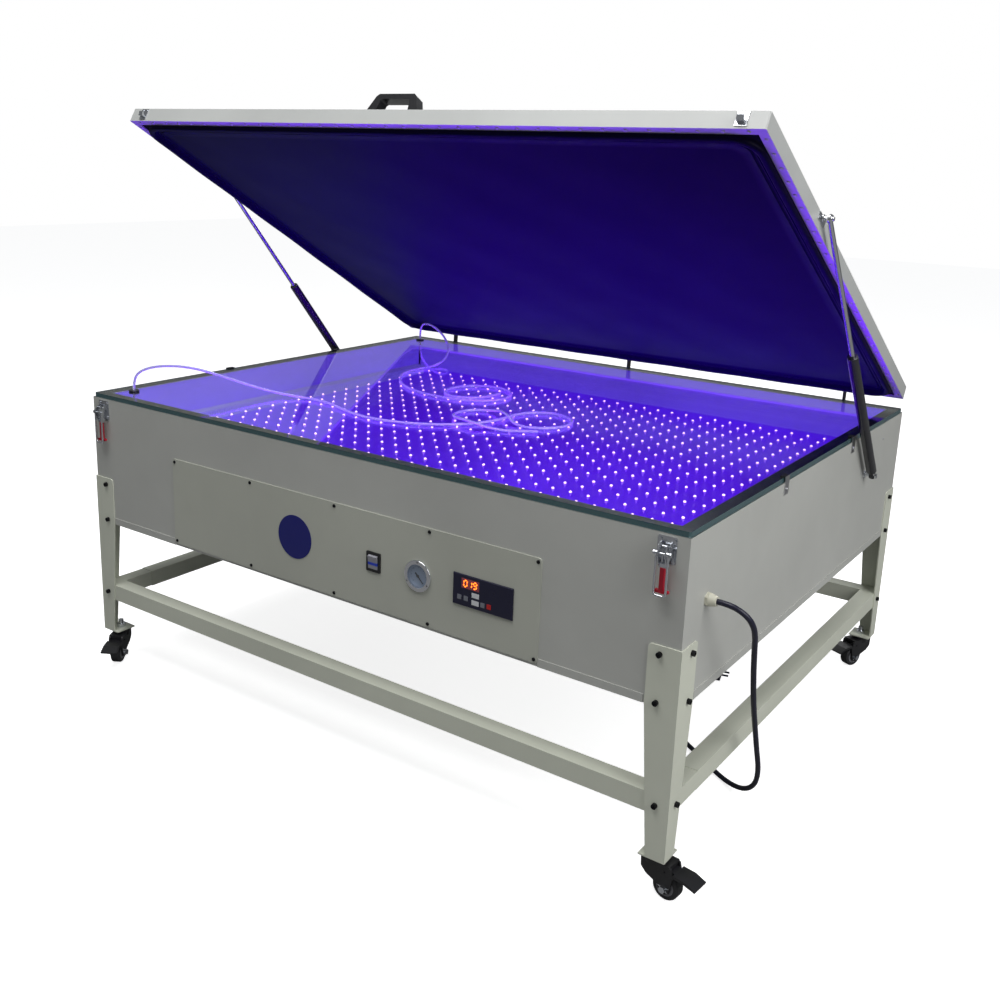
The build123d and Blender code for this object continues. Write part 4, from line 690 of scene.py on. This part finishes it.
def bead_profile():
    """Stations across the bead and both ridges: offset, height, corner radius."""
    stations = [(0.0022, blanket_low, 0.002), (bead_offset - 0.0004, blanket_low, bead_corner)]
    arc_steps = 5
    for step in range(arc_steps + 1):
        angle = math.radians(90 * step / arc_steps)
        stations.append((bead_offset + bead_edge * (1 - math.cos(angle)),
                         bead_low + bead_edge * (1 - math.sin(angle)), bead_corner))
    for step in range(arc_steps + 1):
        angle = math.radians(90 * (1 - step / arc_steps))
        stations.append((bead_offset + bead_across - bead_edge * (1 - math.cos(angle)),
                         bead_low + bead_edge * (1 - math.sin(angle)), bead_corner - bead_across))
    inner = bead_offset + bead_across
    stations.append((inner + 0.0003, blanket_low, bead_corner - bead_across))
    for ridge in (0.038, 0.046):
        radius = bead_corner - (ridge - bead_offset)
        for along, drop in ((-0.0006, 0.0), (0.0, 0.0008), (0.0004, 0.0013), (0.0012, 0.0013), (0.0016, 0.0008),
                            (0.0022, 0.0)):
            stations.append((ridge + along, blanket_low - drop, radius))
    return stations


def rubber_blanket():
    """Sheet with its bead and two ridges, hanging a little and softly waved where it isn't clamped."""
    vertices, faces = [], []
    stations = [(0.0022, blanket_high, 0.002)] + bead_profile()
    offset = stations[-1][0]
    while offset < lid_half_y - 0.025:
        offset += 0.0192
        stations.append((offset, blanket_low, max(0.024 - offset * 0.03, 0.004)))
    count = 0
    for offset, height, radius in stations:
        ring = rounded_ring(offset, radius)
        count = len(ring)
        free = min(max((offset - 0.048) / 0.10, 0.0), 1.0)
        ripple = 0.0005 if bead_offset < offset < 0.030 else 0.0
        for x, y in ring:
            hang = 0.004 * free * math.cos(x * math.pi / 2 / lid_half_x)
            hang *= math.cos(y * math.pi / 2 / lid_half_y)
            wave = free * 0.0007 * math.sin(x * 11 + 2 * y) * math.sin(y * 9 - 1.2)
            wave += free * 0.0004 * math.sin(x * 23 - y * 17)
            wave += ripple * math.sin(x * 31 + y * 27)
            vertices.append(opened(x, y, height - hang + wave))
    for ring in range(len(stations) - 1):
        for index in range(count):
            after = (index + 1) % count
            faces.append([ring * count + index, (ring + 1) * count + index,
                          (ring + 1) * count + after, ring * count + after])
    faces.append([(len(stations) - 1) * count + index for index in reversed(range(count))])
    faces.append(list(range(count)))
    piece = mesh_piece("rubber_blanket", vertices, faces, "blanket", body="lid", slot_name="blanket_rubber")
    for polygon in piece.data.polygons:
        polygon.use_smooth = polygon.index != len(faces) - 1
    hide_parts("blanket")


# ------------------------------------------------------------ marks on the instruments

def mesh_piece(name, vertices, faces, look, body="cabinet", slot_name=None):
    mesh = bpy.data.meshes.new(name)
    mesh.from_pydata(vertices, [], faces)
    mesh.update()
    mesh.materials.append(materials[look])
    obj = bpy.data.objects.new(name, mesh)
    bpy.context.scene.collection.objects.link(obj)
    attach(obj, body)
    return obj


rubber_blanket()


def raised_shapes(outlines, back, front):
    """Raised flat shapes facing -Y, each with a sloping rim, from outlines in X and Z."""
    slope = 0.05
    vertices, faces = [], []
    for outline in outlines:
        turning = sum(x * outline[i - 1][1] - outline[i - 1][0] * z for i, (x, z) in enumerate(outline))
        if turning > 0:
            outline = outline[::-1]
        start = len(vertices)
        count = len(outline)
        middle_x = sum(x for x, z in outline) / count
        middle_z = sum(z for x, z in outline) / count
        vertices.extend((x, back, z) for x, z in outline)
        vertices.extend((x + (middle_x - x) * slope, front, z + (middle_z - z) * slope) for x, z in outline)
        faces.append([start + count + i for i in range(count)])
        for i in range(count):
            j = (i + 1) % count
            faces.append([start + i, start + j, start + count + j, start + count + i])
    return vertices, faces


segment_shapes = {"0": "abcdef", "1": "bc", "9": "abcdfg"}
digit_width, digit_height, digit_bar = 0.0070, 0.0118, 0.0021


def segment_outline(segment, x, z, lean=0.08):
    """Six-sided bar of a seven-segment digit whose middle is at x, z."""
    half_w, half_h, bar = digit_width / 2, digit_height / 2, digit_bar / 2
    level = {"a": half_h, "g": 0.0, "d": -half_h}
    points = []
    if segment in level:
        at = level[segment]
        points = [(-half_w + bar, at), (-half_w + 2 * bar, at + bar), (half_w - 2 * bar, at + bar),
                  (half_w - bar, at), (half_w - 2 * bar, at - bar), (-half_w + 2 * bar, at - bar)]
    else:
        side = half_w if segment in "bc" else -half_w
        low, high = (0.0, half_h) if segment in "bf" else (-half_h, 0.0)
        points = [(side, low + bar * 0.6), (side + bar, low + 2 * bar), (side + bar, high - 2 * bar),
                  (side, high - bar * 0.6), (side - bar, high - 2 * bar), (side - bar, low + 2 * bar)]
    return [(x + px + pz * lean, z + pz) for px, pz in points]


timer_face = -0.605
window_outline = [(0.3175, 0.4640), (0.3565, 0.4640), (0.3565, 0.4830), (0.3175, 0.4830)]
mesh_piece("timer_window", *raised_shapes([window_outline], timer_face, timer_face - 0.00008), "window",
           slot_name="dark_plastic")
outlines = []
for digit, digit_x in (("0", 0.3262), ("1", 0.3366), ("9", 0.3472)):
    for segment in segment_shapes[digit]:
        outlines.append(segment_outline(segment, digit_x, 0.4735))
mesh_piece("timer_digits", *raised_shapes(outlines, timer_face - 0.0001, timer_face - 0.0004), "digit",
           slot_name="dark_plastic")

dial_face = -0.6001
outlines = []
for index in range(31):
    angle = math.radians(-45.0 + 9.0 * index)
    long_mark = index % 5 == 0
    inner, outer, half = (0.0150 if long_mark else 0.0168), 0.0190, (0.00035 if long_mark else 0.0002)
    along = (math.cos(angle), math.sin(angle))
    across = (-along[1] * half, along[0] * half)
    outlines.append([
        (gauge_place[0] + along[0] * r + across[0] * k, gauge_place[2] + along[1] * r + across[1] * k)
        for r, k in ((inner, 1), (inner, -1), (outer, -1), (outer, 1))
    ])
mesh_piece("dial_marks", *raised_shapes(outlines, dial_face, dial_face - 0.0001), "mark",
           slot_name="black_metal")


# ------------------------------------------------------------ floor, light, camera

def white_floor():
    mesh = bpy.data.meshes.new("floor")
    half = 14.0
    corners = [(-half, -half, 0), (half, -half, 0), (half, half, 0), (-half, half, 0)]
    mesh.from_pydata(corners, [], [(0, 1, 2, 3)])
    floor = bpy.data.objects.new("floor", mesh)
    bpy.context.scene.collection.objects.link(floor)
    material, tree, shader = new_material("floor")
    ray = tree.nodes.new("ShaderNodeLightPath")
    tone = tree.nodes.new("ShaderNodeMixRGB")
    tree.links.new(ray.outputs["Is Camera Ray"], tone.inputs["Fac"])
    tone.inputs["Color1"].default_value = (0.22, 0.22, 0.22, 1)
    grain = noise(tree, 5.0, 2.0)
    pale = ramp(tree, grain, [(0.3, (0.86, 0.86, 0.86)), (0.7, (0.88, 0.88, 0.88))])
    tree.links.new(pale, tone.inputs["Color2"])
    tree.links.new(tone.outputs["Color"], shader.inputs["Base Color"])
    shader.inputs["Roughness"].default_value = 0.9
    shader.inputs["Emission Color"].default_value = (1, 1, 1, 1)
    tree.links.new(remap(tree, ray.outputs["Is Camera Ray"], 0.0, 0.80), shader.inputs["Emission Strength"])
    mesh.materials.append(material)


white_floor()

world = bpy.data.worlds.new("studio")
bpy.context.scene.world = world
world.use_nodes = True
tree = world.node_tree
tree.nodes.clear()
world_out = tree.nodes.new("ShaderNodeOutputWorld")
seen = tree.nodes.new("ShaderNodeBackground")
seen.inputs["Color"].default_value = (1, 1, 1, 1)
seen.inputs["Strength"].default_value = 1.0
lighting = tree.nodes.new("ShaderNodeBackground")
lighting.inputs["Color"].default_value = (0.94, 0.97, 1.0, 1)
lighting.inputs["Strength"].default_value = 0.19
light_path = tree.nodes.new("ShaderNodeLightPath")
mix = tree.nodes.new("ShaderNodeMixShader")
tree.links.new(light_path.outputs["Is Camera Ray"], mix.inputs["Fac"])
tree.links.new(lighting.outputs["Background"], mix.inputs[1])
tree.links.new(seen.outputs["Background"], mix.inputs[2])
tree.links.new(mix.outputs["Shader"], world_out.inputs["Surface"])


def area_light(name, place, target, size, power, colour=(1, 1, 1), hidden=False, size_y=None):
    light = bpy.data.lights.new(name, "AREA")
    light.energy = power
    light.size = size
    light.color = colour
    if size_y:
        light.shape = "RECTANGLE"
        light.size_y = size_y
    obj = bpy.data.objects.new(name, light)
    obj.location = place
    way = Vector(target) - Vector(place)
    obj.rotation_euler = way.to_track_quat("-Z", "Y").to_euler()
    bpy.context.scene.collection.objects.link(obj)
    if hidden:
        obj.visible_camera = False
        obj.visible_glossy = False
        obj.visible_transmission = False
    return obj


area_light("key", (3.4, -0.6, 2.2), (0, 0, 0.5), 2.4, 72)
area_light("overhead", (0.0, -1.2, 4.0), (0, -0.3, 0.6), 2.6, 116)
area_light("back", (-1.5, 3.2, 2.6), (0, 0, 0.6), 2.4, 40)
area_light("lamp_glow", (0, 0, 0.668), (0, 0.001, 2.0), 1.36, 30, (0.20, 0.005, 1.0), True, 1.08)

camera_data = bpy.data.cameras.new("camera")
camera = bpy.data.objects.new("camera", camera_data)
bpy.context.scene.collection.objects.link(camera)
right = Vector((0.81237125, 0.58226336, 0.03197402))
down = Vector((0.17128727, -0.18584875, -0.96753342))
forward = Vector((-0.55741693, 0.79147307, -0.25071248))
turned = Matrix((right, -down, -forward)).transposed().to_4x4()
camera.matrix_world = Matrix.Translation((1.40056, -2.11945, 1.21885)) @ turned
camera_data.sensor_width = 36.0
camera_data.sensor_fit = "HORIZONTAL"
camera_data.lens = 39.537
camera_data.shift_x = 0.02632
camera_data.shift_y = -0.0580
camera_data.clip_end = 100.0
bpy.context.scene.camera = camera
bpy.context.scene.view_settings.view_transform = "Standard"
bpy.context.scene.view_settings.look = "None"
